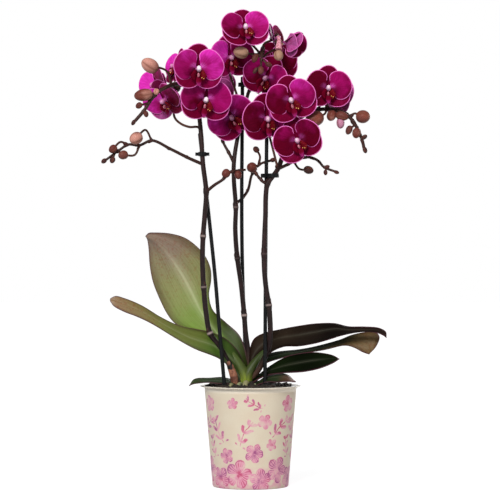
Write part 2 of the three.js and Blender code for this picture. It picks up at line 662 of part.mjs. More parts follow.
// A clip is a flat loop round stem and stake with a finger tab at each side, made along X from the stem.
function clip(span, hole) {
  const loop = (radius, tall) => {
    const outline = new THREE.Shape();
    outline.absarc(0, 0, radius, Math.PI / 2, (3 * Math.PI) / 2, false);
    outline.absarc(span, 0, radius, -Math.PI / 2, Math.PI / 2, false);
    const made = new THREE.ExtrudeGeometry(outline, { depth: tall, bevelEnabled: false, curveSegments: 4 });
    return solid(made.translate(0, 0, -tall / 2));
  };
  const tabs = [-1, 1].map((hand) => {
    const tab = new THREE.BoxGeometry(...CLIP.tab);
    return solid(tab.translate(span / 2, hand * (hole + CLIP.tab[1] / 2), 0));
  });
  return union([loop(hole + CLIP.wall, CLIP.height), ...tabs]).subtract(loop(hole, CLIP.height + 2));
}

// Assembly
const FINISHES = {
  pot: { color: 0xe0cdb2, roughness: 0.6 },
  culture: { color: 0xe8ebe6, roughness: 0.25 },
  bark: { color: 0x5a3d28, roughness: 0.95 },
  crown: { color: 0x7d8f3a, roughness: 0.55 },
  leaf: { color: 0x4a5a2c, roughness: 0.4 },
  stake: { color: 0x17181a, roughness: 0.5 },
  clip: { color: 0x101112, roughness: 0.45 },
  stem: { color: 0x3a2a28, roughness: 0.55 },
  tepal: { color: 0xa3146e, roughness: 0.5 },
  lip: { color: 0x7a0a28, roughness: 0.4 },
};

const orchid = new THREE.Group();

function add(name, made, finish, parent = orchid) {
  const mesh = new THREE.Mesh(geometryOf(made), new THREE.MeshStandardMaterial(FINISHES[finish]));
  mesh.name = name;
  parent.add(mesh);
  return mesh;
}

const grownCrown = crown(GAP);
const grownStakes = Object.values(STAKES).map((points) => stake(points, GAP));

add("outer_pot", outerPot(), "pot");
add("culture_pot", culturePot(), "culture");
add("bark", bark([...grownStakes, grownCrown]), "bark");
add("crown", crown(), "crown");
for (const [side, points] of Object.entries(STAKES)) {
  add(`stake_${side}`, stake(points), "stake");
}
for (const [side, ends] of Object.entries(CLIPS)) {
  const [from, to] = [place(ends.stem), place(ends.stake)];
  const mesh = add(`clip_${side}`, clip(Math.hypot(to.x - from.x, to.y - from.y), ends.hole), "clip");
  mesh.position.copy(from);
  mesh.rotation.z = Math.atan2(to.y - from.y, to.x - from.x);
}
for (const [side, plan] of Object.entries(SPIKES)) {
  add(`spike_${side}`, without(spike(plan), [grownCrown]), "stem");
}

// Each leaf is cut clear of what it clasps: the crown, the stems and stakes, and the leaves inside it.
const clasped = [grownCrown, ...grownStakes, ...Object.values(SPIKES).map((plan) => stem(plan, GAP))];
for (const [name, plan] of Object.entries(LEAVES)) {
  add(`leaf_${name}`, without(leaf(plan), clasped), "leaf");
  clasped.push(leaf(plan, GAP));
}

const openTepals = tepals(0);
const openLip = lip();
for (const [name, spot] of Object.entries(BLOOMS)) {
  const stand = bloomStand(spot);
  add(`bloom_${name}`, openTepals, "tepal", stand);
  add(`lip_${name}`, openLip, "lip", stand);
  orchid.add(stand);
}
const openingStand = bloomStand(OPENING);
add("bloom_opening", tepals(CLOSING), "tepal", openingStand);
orchid.add(openingStand);

export default orchid;
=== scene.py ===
"""A potted moth orchid: staked dark spikes of magenta blooms over strap leaves in a printed pot.

Lengths in the tables are millimetres and finished meshes are metres. +Z is up, the plant faces -Y and the
origin is the middle of the outer pot's flat underside.
"""

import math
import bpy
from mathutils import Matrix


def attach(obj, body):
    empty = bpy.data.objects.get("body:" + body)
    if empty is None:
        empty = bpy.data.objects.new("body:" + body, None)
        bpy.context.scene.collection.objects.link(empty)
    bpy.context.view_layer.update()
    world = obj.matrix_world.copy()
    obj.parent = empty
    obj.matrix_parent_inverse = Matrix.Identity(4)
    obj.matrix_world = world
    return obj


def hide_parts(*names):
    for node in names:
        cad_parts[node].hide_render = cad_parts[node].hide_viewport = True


bl_info = {
    "name": "Potted moth orchid",
    "version": (1, 0, 0),
    "blender": (4, 5, 0),
    "location": "3D View > Sidebar > Orchid",
    "description": "Builds a potted moth orchid piece by piece, with its finishes and a plain studio",
    "category": "Object",
}

import bmesh
import bpy
import numpy as np
from bpy.props import FloatProperty, FloatVectorProperty, IntProperty, PointerProperty
from mathutils import Matrix, Vector

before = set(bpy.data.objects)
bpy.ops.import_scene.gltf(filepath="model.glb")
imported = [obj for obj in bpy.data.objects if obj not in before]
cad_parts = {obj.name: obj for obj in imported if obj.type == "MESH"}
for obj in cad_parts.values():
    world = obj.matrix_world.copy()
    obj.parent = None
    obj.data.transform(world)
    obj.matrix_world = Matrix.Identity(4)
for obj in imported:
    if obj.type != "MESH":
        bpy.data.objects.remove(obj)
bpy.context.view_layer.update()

MM = 0.001

# The plant is laid out as it looks from this far in front, at this height.
EYE_DISTANCE = 2300.0
EYE_HEIGHT = 236.0

# Blooms: place as across, up, away; then yaw to the viewer's right, pitch of the face, roll and size.
BLOOMS = {
    "left_front": ((-52.5, 417, -38), 10, -4, 0, 1.0),
    "left_lower": ((-45, 386, -25), 6, -6, 4, 1.02),
    "left_edge": ((-73.5, 418, 5), -68, 16, 0, 0.8),
    "left_far": ((-93.5, 401, 20), -54, -4, -16, 0.87),
    "left_hanging": ((-85, 386, -4), -34, -26, -18, 0.9),
    "left_back": ((-38, 398, 34), 150, 6, 0, 0.95),
    "middle_left": ((-21, 428, -5), 22, -4, -4, 0.95),
    "top": ((-5.5, 456, -26), 8, 26, -3, 0.95),
    "top_right": ((23.5, 446.5, 15), 76, 18, 0, 0.76),
    "upper_right": ((24, 421, 37), 18, 0, -20, 0.95),
    "middle": ((16, 408, -8), -16, -10, 24, 0.95),
    "right_front": ((77.5, 397, -20), 4, 4, 2, 0.93),
    "right_middle": ((41.5, 385.5, -30), -8, -4, -16, 1.0),
    "right_lower": ((48, 345, -26), -12, -2, -22, 0.98),
    "right_back": ((86, 388, 14), 118, -8, 0, 0.92),
    "centre_right": ((16.5, 367, -11), 10, -8, -8, 1.04),
    "centre_left": ((-18, 369, -2), -6, -14, -34, 1.0),
}
OPENING = ((36, 443, -14), 74, -14, 10, 0.78)
# How far the opening bloom is folded shut, in radians: at its petals' claws, and in their curl.
OPENING_FOLD = (0.82, 0.7)

# How brightly a bloom's left and right petals are painted as lit, where above 1 is painted light in bright
# magenta and below 1 is painted shade in dark wine, and how far its column's cap is flushed with pink.
PETAL_LIGHT_AND_FLUSH = {
    "left_front": (0.9, 1.17, 0.0),
    "left_lower": (0.7, 1.06, 0.0),
    "left_edge": (1.3, 1.1, 0.85),
    "left_far": (1.8, 0.6, 0.85),
    "left_hanging": (1.35, 0.65, 0.75),
    "left_back": (0.5, 0.5, 0.0),
    "middle_left": (1.5, 0.8, 0.6),
    "top": (0.7, 1.08, 0.2),
    "top_right": (0.45, 0.45, 0.9),
    "upper_right": (0.7, 0.5, 0.7),
    "middle": (0.7, 0.8, 0.6),
    "right_front": (0.3, 0.7, 0.25),
    "right_middle": (0.54, 0.9, 0.3),
    "right_lower": (0.42, 0.45, 0.45),
    "right_back": (0.75, 0.75, 0.0),
    "centre_right": (0.5, 1.05, 0.5),
    "centre_left": (1.1, 0.9, 0.7),
    "opening": (0.95, 0.6, 0.0),
}

# Side sepals whose fronts are painted in the pale colour of their outside.
TURNED_SEPALS = {("left_hanging", -115)}

# Flower spikes: stem points, which of them are joints and how pale each is, how thick the stem's tip is as a
# share of its foot, the buds that have a colour of their own, side twigs, buds, and where bloom stalks leave
# the stem. A bud has its place, the way its tip points, its length and width, and its stalk's points from the
# stem to just short of it.
SPIKES = {
    "left": {
        "stem": [
            (-11, 96, -5), (-14, 103, -8), (-17.5, 112, -10), (-21.5, 121.5, -12), (-30, 138, -13),
            (-40.5, 153, -13.5), (-44.5, 174, -13.5), (-46.8, 199, -13.5), (-48, 224, -13),
            (-47.4, 250, -12.5), (-45.7, 271, -12), (-44.3, 294, -11.5), (-47.2, 319, -10),
            (-48.3, 332, -8.5), (-49.1, 348, -7), (-51, 368, -3), (-53, 386, 3), (-58, 396, 2),
            (-67, 401, -10), (-76, 402, -22), (-84, 399, -31), (-93.5, 393.5, -35), (-100.5, 385, -37),
            (-106, 376, -38), (-115.5, 365, -40),
        ],
        "joints": {5: 1.3, 7: 0.8, 9: 1.0, 11: 0.15},
        "tip": 0.62,
        "tints": {
            0: "pink", 1: "brown", 5: "pink", 6: "red", 10: "red", 11: "red", 12: "pink", 13: "dark",
        },
        "twigs": [
            [
                (-48.5, 322, -9), (-62, 328, -12), (-80, 337, -16), (-98.5, 345.5, -19),
                (-111, 340.7, -21), (-122.5, 341.4, -22), (-131, 336, -23), (-146, 325, -25),
            ],
            [
                (-44.5, 294, -11.5), (-36, 301, -15), (-27.6, 306.5, -18), (-20, 314, -17),
                (-12, 315.5, -15), (-5, 316.2, -13),
            ],
        ],
        "buds": [
            ((-100.5, 420.5, -30), (-0.8, 0.5, -0.1), (18, 14), [(-79, 401, -25), (-84, 415, -27)]),
            ((-107, 391, -40), (-1, -0.15, -0.1), (18, 12), [(-94, 393, -35)]),
            ((-111.5, 380.5, -40), (-0.8, -0.6, 0), (7, 6), [(-102, 383, -37)]),
            ((-104.5, 372, -42), (0.3, -1, -0.3), (6.5, 5), [(-106, 377, -38)]),
            ((-117, 363.5, -40.5), (-0.5, -0.8, 0), (6, 4), [(-113, 368, -39.5)]),
            ((-114.4, 347.8, -26), (-0.7, -0.45, -0.3), (13.5, 12), [(-99, 346, -19), (-105, 356, -21)]),
            ((-127.3, 331, -27), (-0.8, -0.2, -0.5), (10, 9), [(-111, 340.5, -21), (-116, 331, -24)]),
            ((-137.5, 337, -26), (-0.6, -0.6, -0.3), (9, 8), [(-123, 341.4, -22), (-130, 344, -24)]),
            ((-138, 326, -26), (-0.4, -0.9, 0), (6.5, 5.5), [(-136, 332, -23.5)]),
            ((-146.5, 325, -25), (-0.8, -0.6, 0), (6, 4.6), [(-142, 328, -24.5)]),
            ((-24.5, 312.5, -19), (-0.3, -0.6, -0.6), (9.5, 8.5), [(-20, 314, -17)]),
            ((-12.3, 311, -17), (0.1, -0.9, -0.3), (8.5, 7.5), [(-12.5, 315.5, -15)]),
            ((-94.2, 394.3, -38.5), (-0.3, -0.9, -0.3), (6.5, 5.6), [(-93.5, 393.5, -35)]),
            ((-77, 397, -6), (-0.9, -0.35, -0.3), (15, 9.5), [(-67, 401, -10)]),
        ],
        "stalks": {
            "left_front": (-58, 396, 2),
            "left_lower": (-51, 368, -3),
            "left_edge": (-67, 401, -10),
            "left_far": (-76, 402, -22),
            "left_hanging": (-49.1, 348, -7),
            "left_back": (-53, 386, 3),
        },
    },
    "middle": {
        "stem": [
            (-1, 112, 4), (-1, 120, 8), (-2, 132, 9.5), (-5, 154, 9.5), (-6.3, 171, 9), (-9.3, 201, 8),
            (-13.2, 228, 6), (-15.2, 256, 4), (-14.7, 279, 3), (-16.6, 306, 2), (-16.6, 323, 2),
            (-13.5, 345, 6), (-7.5, 371, 13), (-2.5, 392, 15), (2.5, 406, 14), (7.5, 420, 8),
            (11, 431, -2), (12.5, 438, -12), (12, 436, -20), (11, 428, -27), (10.5, 418, -30),
        ],
        "joints": {4: 1.2, 6: 0.4, 8: 0.6},
        "tip": 0.4,
        "tints": {0: "olive", 1: "olive", 6: "red"},
        "twigs": [
            [
                (-14.7, 279, 3), (-15, 282, 13), (-9, 287, 24), (-3, 295, 23), (1.5, 311.6, 8),
                (7, 320, 3), (13, 323.5, 4), (21, 325.5, 3),
            ],
            [(-16.6, 323, 2), (-21, 332, 3), (-27, 343, 6), (-31, 354, 8)],
        ],
        "buds": [
            ((-9.5, 433.5, -24), (-0.9, 0.1, -0.4), (15, 12), [(11.5, 432, -4), (2, 432, -14)]),
            (
                (28, 430.5, -29), (0, -0.8, -0.5), (10.5, 9.5),
                [(20, 446.5, 15), (26, 451, -4), (27.5, 450, -20)],
            ),
            ((4.5, 428, -29), (-0.4, -0.9, -0.3), (10, 6), [(11.5, 431, -24.5)]),
            ((18, 421.5, -30), (0.8, -0.5, -0.3), (7, 5), [(11, 427, -27)]),
            ((10.5, 415.5, -31.5), (0, -0.9, -0.4), (8, 6), [(10.7, 421, -29)]),
            ((5, 415.5, -31), (-0.6, -0.8, 0), (7, 4), [(10.6, 420, -29)]),
            ((1.5, 318.5, 0.5), (-0.3, 0.2, -0.9), (11.5, 10.5), [(6, 318, 3.5)]),
            ((5.7, 336.5, 1), (-0.6, 0.6, -0.4), (7, 6), [(8.5, 321.5, 3.4), (9.4, 330, 2.5)]),
            ((22.5, 326, 3), (1, 0.2, 0), (6, 4.5), [(17, 324.8, 3.5)]),
        ],
        "stalks": {
            "top": (11, 431, -2),
            "top_right": (7.5, 420, 8),
            "upper_right": (-2.5, 392, 15),
            "middle": (2.5, 406, 14),
            "middle_left": (-7.5, 371, 13),
            "centre_left": (-13.5, 345, 6),
            "opening": (7.5, 420, 8),
        },
    },
    "right": {
        "stem": [
            (1, 107, -3), (8, 116, -8), (14, 128, -11.5), (18.5, 140, -15.5), (19.8, 150, -19),
            (19.6, 164, -21), (18.4, 181, -21), (15.7, 197, -20.3), (13.9, 216, -19.2), (13.5, 232, -18),
            (14.1, 251, -17), (15, 271, -15.5), (15.4, 291, -14.5), (17, 302, -14), (22.6, 310, -13),
            (27.4, 317, -9), (31.5, 328, -2), (35.5, 341, 5), (39.5, 355, 7), (46, 365, 7), (56, 372, 3),
            (67.5, 376, -4), (76.5, 377, -9), (86.5, 375.5, -14), (96, 372, -18), (101.5, 366, -20),
            (106, 359, -21), (111.5, 346.5, -23), (113.7, 337, -24),
        ],
        "joints": {6: 0.9, 9: 0.4, 13: 0.2},
        "tip": 0.6,
        "tints": {2: "mauve", 8: "dark", 13: "red"},
        "twigs": [
            [
                (27.4, 317, -9), (36, 321, -5), (44, 325, -5), (52, 328.3, -8), (60, 328.6, -11),
                (68, 325, -13), (73.3, 319, -15), (86, 314, -18),
            ],
            [(17, 302, -14), (11.5, 305, -13.5), (6, 312, -12)],
        ],
        "buds": [
            ((64, 367, -23), (-0.9, -0.35, -0.15), (19, 15), [(76, 376.8, -9), (74, 372, -18)]),
            ((81, 370.5, -18), (-0.4, -0.9, -0.2), (11, 9.5), [(84, 376, -13)]),
            ((90, 363, -20), (0, -1, -0.2), (11, 8), [(92, 373.5, -16)]),
            ((112.5, 369.3, -22), (0.9, 0.1, -0.4), (14, 13), [(99, 369, -19), (104, 372.5, -20)]),
            ((98.5, 356, -25), (-0.4, -0.9, -0.2), (9.5, 6.5), [(104.5, 361.5, -20.7)]),
            ((106, 353, -25), (-0.2, -0.9, -0.2), (10.5, 8.5), [(107.5, 356, -21.5)]),
            ((114, 349, -23.5), (0.7, 0.5, -0.2), (6, 4.5), [(110.8, 348.5, -22.8)]),
            ((114.5, 336, -24), (0.3, -0.9, 0), (6.5, 4.5), [(113, 341, -23.5)]),
            ((58, 316, -15), (0.9, -0.2, -0.2), (10, 8), [(43, 324.6, -5), (49, 317, -11)]),
            ((76.5, 319, -17), (0.9, 0.3, -0.2), (5.5, 4), [(73.3, 319, -15)]),
            ((75, 313.5, -16.5), (0.1, -1, -0.2), (5.5, 4), [(75.5, 317.8, -15.6)]),
            ((86, 313.8, -18), (0.9, -0.3, 0), (5.5, 3.6), [(81, 315.7, -17)]),
            ((5.5, 312.5, -12), (-0.4, 0.8, 0), (5.5, 4), [(8.5, 307.5, -12.8)]),
            ((91.5, 370, -21), (0.9, -0.25, -0.2), (13, 9), [(86.5, 375.5, -14)]),
        ],
        "stalks": {
            "right_front": (76.5, 377, -9),
            "right_middle": (39.5, 355, 7),
            "right_lower": (31.5, 328, -2),
            "right_back": (67.5, 376, -4),
            "centre_right": (27.4, 317, -9),
        },
    },
}

# The pale, swollen stalk over the top bud, with its radii.
SWOLLEN_STALK = [(27.5, 450, -22), (28.5, 446, -24), (28.3, 441, -26), (28.2, 436.5, -28)]
SWOLLEN_RADII = (0.9, 1.9, 2.9, 3.4)

# The number that tells the bud finish of a bud's own colour; other buds are browner the smaller they are.
BUD_TINTS = {"dark": 0.95, "red": 0.55, "brown": 0.3, "pink": -1.0, "olive": -2.0, "mauve": -3.0}

# Where a bloom's stalk swings out before it comes round behind the bloom.
STALK_SWINGS = {
    "left_hanging": [(-52, 358.5, -4), (-61, 359, -2), (-70, 362.5, 2), (-76, 369, 6)],
    "opening": [(16, 432, 14), (27, 438, 14)],
}

# Leaves: the way that the upper side looks, the left edge, midrib and right edge as seen from the front, the
# colours of the underside and of the upper side, each at base, middle and tip, how glossy the leaf is, how
# clear its pale streak along the midrib is and, where it has one, how dark the painted shade on the right
# side of its foot is.
LEAVES = {
    "upright_left": {
        "faces": (0.3, 0.9, 0.3),
        "left": [
            (-10, 104, -2), (-20, 122, 4), (-33, 141, 10), (-46, 152, 14), (-56, 154.5, 16),
            (-66, 156.5, 18), (-76, 163, 20), (-83, 171.5, 22), (-90.5, 186, 24), (-97.5, 204, 24),
            (-100.5, 221, 22), (-101.5, 236, 18), (-103, 246, 13), (-105, 250, 9),
        ],
        "rib": [
            (-6, 108, 2), (-17, 132, 8), (-33, 152, 13), (-48, 172, 16), (-60, 196, 17), (-70, 214, 16),
            (-84, 234, 13), (-96, 245, 10), (-105, 250, 8),
        ],
        "right": [
            (-1, 108, 4), (-3, 126, 8), (-10.5, 150, 12), (-25, 164, 17), (-37.5, 176, 20),
            (-41.5, 191, 22), (-39.5, 206, 23), (-40, 217, 23), (-44.5, 228.5, 22), (-52, 238, 20),
            (-65, 248, 17), (-80, 252.5, 13), (-95, 253.5, 10), (-102, 253, 8), (-105, 250, 8),
        ],
        "under": ("6a8e2a", "888a58", "867264"),
        "upper": ("4a5f26", "44542a", "50462e"),
        "gloss": 0.22,
        "streak": 1.0,
        "dusk": 0.85,
    },
    "long_left": {
        "faces": (0.0, -0.6, 0.8),
        "left": [
            (-10, 102, -8), (-18, 114, -13), (-28.5, 125.5, -17), (-55.5, 137, -23), (-75.5, 148, -27),
            (-100.5, 163, -31), (-114, 169.5, -33), (-127, 174.5, -34), (-137, 180, -34),
            (-140.3, 184.5, -32.5),
        ],
        "rib": [
            (-6, 108, -3), (-18, 125, -9), (-36, 139.5, -15), (-62, 148.5, -21), (-82, 158.5, -25),
            (-104, 171.5, -29), (-122, 180, -31), (-134, 184.5, -32), (-140.5, 186, -32),
        ],
        "right": [
            (-4, 112, 2), (-12, 134, 0), (-26, 148, -4), (-43.5, 154.5, -8), (-57, 157, -11),
            (-71, 160.5, -14), (-90.5, 169.5, -19), (-110.5, 181, -25), (-125.5, 187.5, -29),
            (-135, 190, -31), (-140.3, 187.5, -32),
        ],
        "under": ("4e661e", "7c7a4c", "8a6a54"),
        "upper": ("3e5a18", "6e723a", "866a4c"),
        "gloss": 0.3,
        "streak": 0.35,
    },
    "upper_right": {
        "faces": (0.1, 0.9, 0.5),
        "left": [
            (-1, 112, 5), (-1, 132, 8), (3, 146.5, 12), (13.5, 153, 15), (30, 156.5, 17), (47, 159.5, 18),
            (66, 162.5, 18), (84, 163, 16), (98.5, 159.5, 14), (114, 159, 11), (128.5, 157.8, 7),
            (135.5, 154, 4), (136, 148, 2),
        ],
        "rib": [
            (0, 110, 3), (3, 130, 4), (13, 142, 6), (30, 148, 8), (47, 150.5, 9), (64, 153.5, 9),
            (84, 157, 9), (98, 156, 8), (114, 156, 6), (128, 155.5, 4), (134, 152.5, 3), (136, 148, 2),
        ],
        "right": [
            (2, 108, 0), (6, 119, 3), (17.5, 131.5, 8), (32.5, 139, 12), (48, 139.5, 14), (62, 142, 15),
            (78, 146.5, 14), (91.5, 150.5, 12), (113.5, 154, 8), (126, 153, 5), (132.5, 150.5, 3),
            (136, 148, 2),
        ],
        "under": ("30261e", "120c0a", "241a16"),
        "upper": ("202c16", "202612", "33291c"),
        "gloss": 0.03,
        "streak": 0.08,
    },
    "second_right": {
        "faces": (-0.1, -0.5, 0.8),
        "left": [
            (2, 108, 6), (4, 122, 12), (12, 130.5, 18), (23, 133.5, 23), (47, 136.5, 30), (76.5, 142.5, 34),
            (91.5, 146.5, 34), (101, 150.5, 32), (114, 153.8, 28), (125, 154, 25), (129, 149.5, 22),
            (126, 140, 20), (118.5, 131.5, 19),
        ],
        "rib": [
            (2, 107, 3), (6, 119, 8), (14, 126.5, 13), (30, 131.2, 18), (54, 135.2, 24), (76, 139.8, 28),
            (92, 143.5, 28), (104, 145.5, 26), (115, 143, 23), (120, 137, 20), (118.5, 131.5, 19),
        ],
        "right": [
            (3, 106, 0), (8, 116, 3), (15, 122.5, 6), (32.5, 128.3, 10), (54.5, 133, 16), (76.5, 137, 21),
            (95.5, 140.2, 23), (104, 138, 22), (112, 133.8, 20), (118.5, 131.5, 19),
        ],
        "under": ("3c3824", "6a5e46", "7e6c4c"),
        "upper": ("1a2810", "181e0e", "6a563a"),
        "gloss": 0.07,
        "streak": 0.2,
    },
    "lower_right": {
        "faces": (0.0, -0.5, 0.85),
        "left": [
            (2, 104, 3), (10, 112.5, 2), (20, 120, 1), (36, 129.5, -1), (54.5, 133, -5), (70, 133.3, -9),
            (82, 131, -15), (89, 127, -20),
        ],
        "rib": [
            (1, 104, -3), (12, 111.5, -5), (30, 118.5, -8), (50, 123, -12), (70, 126, -16), (89, 127, -20),
        ],
        "right": [
            (1, 102, -8), (10, 108, -13), (20, 111.5, -17), (32.5, 112.5, -20), (54.5, 114.7, -23),
            (70, 117.5, -24), (81, 122, -23), (89, 127, -20),
        ],
        "under": ("2c2a16", "2a2618", "30281c"),
        "upper": ("121c0a", "080e04", "101808"),
        "gloss": 0.03,
        "streak": 0.15,
    },
    "small_right": {
        "faces": (0.0, -0.4, 0.9),
        "left": [(4, 101, 0), (15, 109, -5), (27, 112, -10), (38, 110.5, -17), (45.5, 104, -28)],
        "rib": [(2, 99, -6), (14, 105.5, -14), (25, 108, -20), (36, 108, -25), (45.5, 104, -28)],
        "right": [(1, 98, -12), (12, 102.8, -20), (24, 104, -29), (36, 104, -34), (45.5, 104, -28)],
        "under": ("4e4a2a", "5a4c30", "6a5038"),
        "upper": ("1e2c14", "24321a", "5c3a2c"),
        "gloss": 0.3,
        "streak": 0.2,
    },
    "drooping_left": {
        "faces": (0.0, -0.4, 0.9),
        "left": [
            (-8, 97, -12), (-20, 102, -20), (-34, 103, -24), (-47, 103, -25), (-56, 102.6, -23),
            (-61.5, 100, -18),
        ],
        "rib": [
            (-8, 99, -4), (-22, 103.5, -9), (-36, 105, -14), (-49, 105, -17), (-57, 104, -18),
            (-61.5, 100, -18),
        ],
        "right": [
            (-7, 102, 4), (-22, 107.5, 2), (-36, 108.4, -4), (-48, 108, -9), (-57, 106, -14),
            (-61.5, 100, -18),
        ],
        "under": ("46502a", "46502a", "4e4a2a"),
        "upper": ("24361a", "24361a", "304020"),
        "gloss": 0.15,
        "streak": 0.2,
    },
}

STAKES = {
    "left": [
        (-22.5, 40, -23), (-26, 98, -24.5), (-30.5, 150, -20.5), (-35, 205, -14.5), (-40.8, 262, -8.5),
        (-50.8, 352.5, 0.5),
    ],
    "middle": [(-3.5, 40, 17), (-4.2, 100, 16.8), (-8.5, 240, 15), (-8, 409, 22)],
    "right": [(14.5, 40, -20), (14.5, 98, -20), (15.2, 240, -11), (16.2, 349, -3)],
}

# Roots: radius and points.
ROOTS = [
    (2.0, [(-8, 94, -6), (-16, 98.5, -16), (-20, 100.5, -27), (-21.5, 90, -34)]),
    (2.1, [(-6, 96, -6), (-10, 102, -13), (-12.5, 99.5, -19), (-13.5, 88, -22)]),
    (2.7, [(-1, 96, -6), (-4, 103, -15), (-5.5, 100, -24), (-6, 86, -28)]),
    (1.7, [(2, 94, -4), (2.5, 101.5, -12), (5, 99, -18), (6.5, 86, -21)]),
    (2.4, [(3, 92, -3), (15, 99, -10), (22, 98, -15), (24, 84, -19)]),
    (2.6, [(2, 92, 5), (10, 99, 14), (14, 96, 22), (14, 82, 25)]),
]


# Sizes and colours that a user would change


def length(name, description, millimetres):
    """A length property that is given in millimetres and kept in metres."""
    return FloatProperty(
        name=name,
        description=description,
        default=millimetres * MM,
        min=0.0,
        precision=4,
        unit="LENGTH",
    )


def linear(code):
    """A colour from its six-figure screen code, as light."""
    shares = [int(code[i : i + 2], 16) / 255 for i in (0, 2, 4)]
    return tuple(s / 12.92 if s <= 0.04045 else ((s + 0.055) / 1.055) ** 2.4 for s in shares)


def colour(name, description, code):
    """A colour property from its six-figure screen code."""
    return FloatVectorProperty(
        name=name,
        description=description,
        default=linear(code),
        size=3,
        min=0.0,
        max=1.0,
        subtype="COLOR",
    )


class OrchidBloomSettings(bpy.types.PropertyGroup):
    """Sizes and colours of the open blooms."""

    petal_length: length("Petal length", "Length of a petal from its claw to its edge", 26.5)
    sepal_length: length("Sepal length", "Length of a sepal from its claw to its tip", 25.5)
    thickness: length("Thickness", "Thickness of petals and sepals in the middle", 0.8)
    margin: length("Pale margin", "Width of the pale line along each petal and sepal", 0.64)
    petal: colour("Petal", "Colour of the petals", "9c0e5e")
    # The bright and deep petal colours are painted light and painted shade: lit petals run to bright, shaded
    # ones to deep.
    bright: colour("Bright petal", "Colour of the freshest petals", "e636c0")
    deep: colour("Deep petal", "Colour of the oldest petals", "580114")
    # The sepals' darker crimson is painted shade, for their place behind the petals.
    sepal: colour("Sepal", "Colour of the sepals", "70022a")
    back: colour("Back", "Colour of the backs of petals and sepals", "b25a9c")
    pale: colour("Margin", "Colour of the pale margin", "ea78c6")
    # heart is the colour of the painted highlight on the petals' claws.
    heart: colour("Heart", "Colour where the petals meet the column", "d862c8")


class OrchidLipSettings(bpy.types.PropertyGroup):
    """Sizes and colours of the lips."""

    drop: length("Lip drop", "How far the lip's tip hangs below the column", 14.0)
    column: colour("Column", "Colour of the column's cap", "fbeaf4")
    lobe: colour("Side lobe", "Colour of the lip's side lobes", "5c0018")
    tongue: colour("Tongue", "Colour of the lip's middle lobe", "640220")
    rust: colour("Rust", "Colour of the streaks on the lip's right side lobe", "842010")
    throat: colour("Throat", "Colour of the raised part under the column", "c47486")
    callus: colour("Spots", "Colour of the small raised spots", "f0b468")


class OrchidSpikeSettings(bpy.types.PropertyGroup):
    """Sizes and colours of the flower spikes and their buds."""

    stem_radius: length("Stem radius", "Radius of a flower stem at its foot", 2.7)
    twig_radius: length("Twig radius", "Radius of a side twig", 1.55)
    stalk_radius: length("Stalk radius", "Radius of a bloom's or bud's stalk", 1.1)
    sides: IntProperty(name="Sides", description="Faces round a stem", default=12, min=3, max=64)
    stem: colour("Stem", "Colour of the stems", "1a0f0f")
    joint: colour("Joint", "Colour of the pale rings at a stem's joints", "a89490")
    stalk: colour("Stalk", "Colour of the thin stalks", "4e2c22")
    blush: colour("Blush", "Colour of the swollen stalk at the top", "dc9aa8")
    bud: colour("Bud", "Main colour of the buds", "7c3e32")
    bud_cheek: colour("Bud cheek", "Colour of a bud's pinkish side", "c88e80")
    bud_olive: colour("Olive bud", "Colour of the buds at the top", "a08068")
    bud_mauve: colour("Mauve bud", "Colour of the mauve bud on the right", "bc7c9c")


class OrchidLeafSettings(bpy.types.PropertyGroup):
    """Sizes and colours of the leaves."""

    thickness: length("Thickness", "Thickness of a leaf at its midrib", 1.8)
    margin: colour("Margin", "Colour of the thin purple margin", "4c2c34")
    rib: colour("Midrib", "Colour of the midrib line", "a8a890")


class OrchidPotSettings(bpy.types.PropertyGroup):
    """Sizes and colours of the pots, bark, crown, roots and stakes."""

    height: length("Pot height", "Height of the outer pot", 100)
    foot: length("Foot radius", "Radius of the outer pot's foot", 38)
    rim: length("Rim radius", "Radius of the outer pot below its rim bead", 46)
    wall: length("Wall", "Thickness of the outer pot's wall", 1.2)
    flange: length("Flange radius", "Radius of the culture pot's flange", 50.2)
    cream: colour("Cream", "Ground colour of the outer pot", "d0c5b0")
    rose: colour("Rose", "Warm colour of the blossom print's lines", "b8446c")
    mauve: colour("Mauve", "Cool colour of the blossom print's lines", "8e3a74")
    wash: colour("Wash", "Colour of the blossoms' petals and the soft wash behind them", "d28aa4")
    milky: colour("Milky", "Colour of the culture pot", "f4ecdc")
    bark: colour("Bark", "Main colour of the bark chips", "24180e")
    crown: colour("Crown", "Colour of the plant's crown", "7c8a2a")
    dry: colour("Dry sheath", "Colour of the dry sheath at a spike's foot", "a87058")
    root: colour("Root", "Colour of the roots", "8e8a64")
    stake: colour("Stake", "Colour of the stakes and clips", "0c0e10")
    seed: IntProperty(name="Seed", description="Seed for the scatter of bark chips", default=7, min=0)
    chips: IntProperty(name="Chips", description="Bark chips on the mound", default=230, min=1)


class OrchidSettings(bpy.types.PropertyGroup):
    """All of the orchid's settings."""

    bloom: PointerProperty(type=OrchidBloomSettings)
    lip: PointerProperty(type=OrchidLipSettings)
    spike: PointerProperty(type=OrchidSpikeSettings)
    leaf: PointerProperty(type=OrchidLeafSettings)
    pot: PointerProperty(type=OrchidPotSettings)


def settings():
    return bpy.context.scene.potted_orchid


# Places, paths and closed shells


def place(spot):
    """The point, in millimetres, that keeps its line of sight from the front whatever its depth."""
    across, up, away = spot
    spread = 1 + away / EYE_DISTANCE
    return np.array([across * spread, away, EYE_HEIGHT + (up - EYE_HEIGHT) * spread])


def unit(vectors):
    return vectors / np.maximum(np.linalg.norm(vectors, axis=-1, keepdims=True), 1e-9)


def smooth_step(low, high, value):
    share = np.clip((value - low) / (high - low), 0, 1)
    return share * share * (3 - 2 * share)


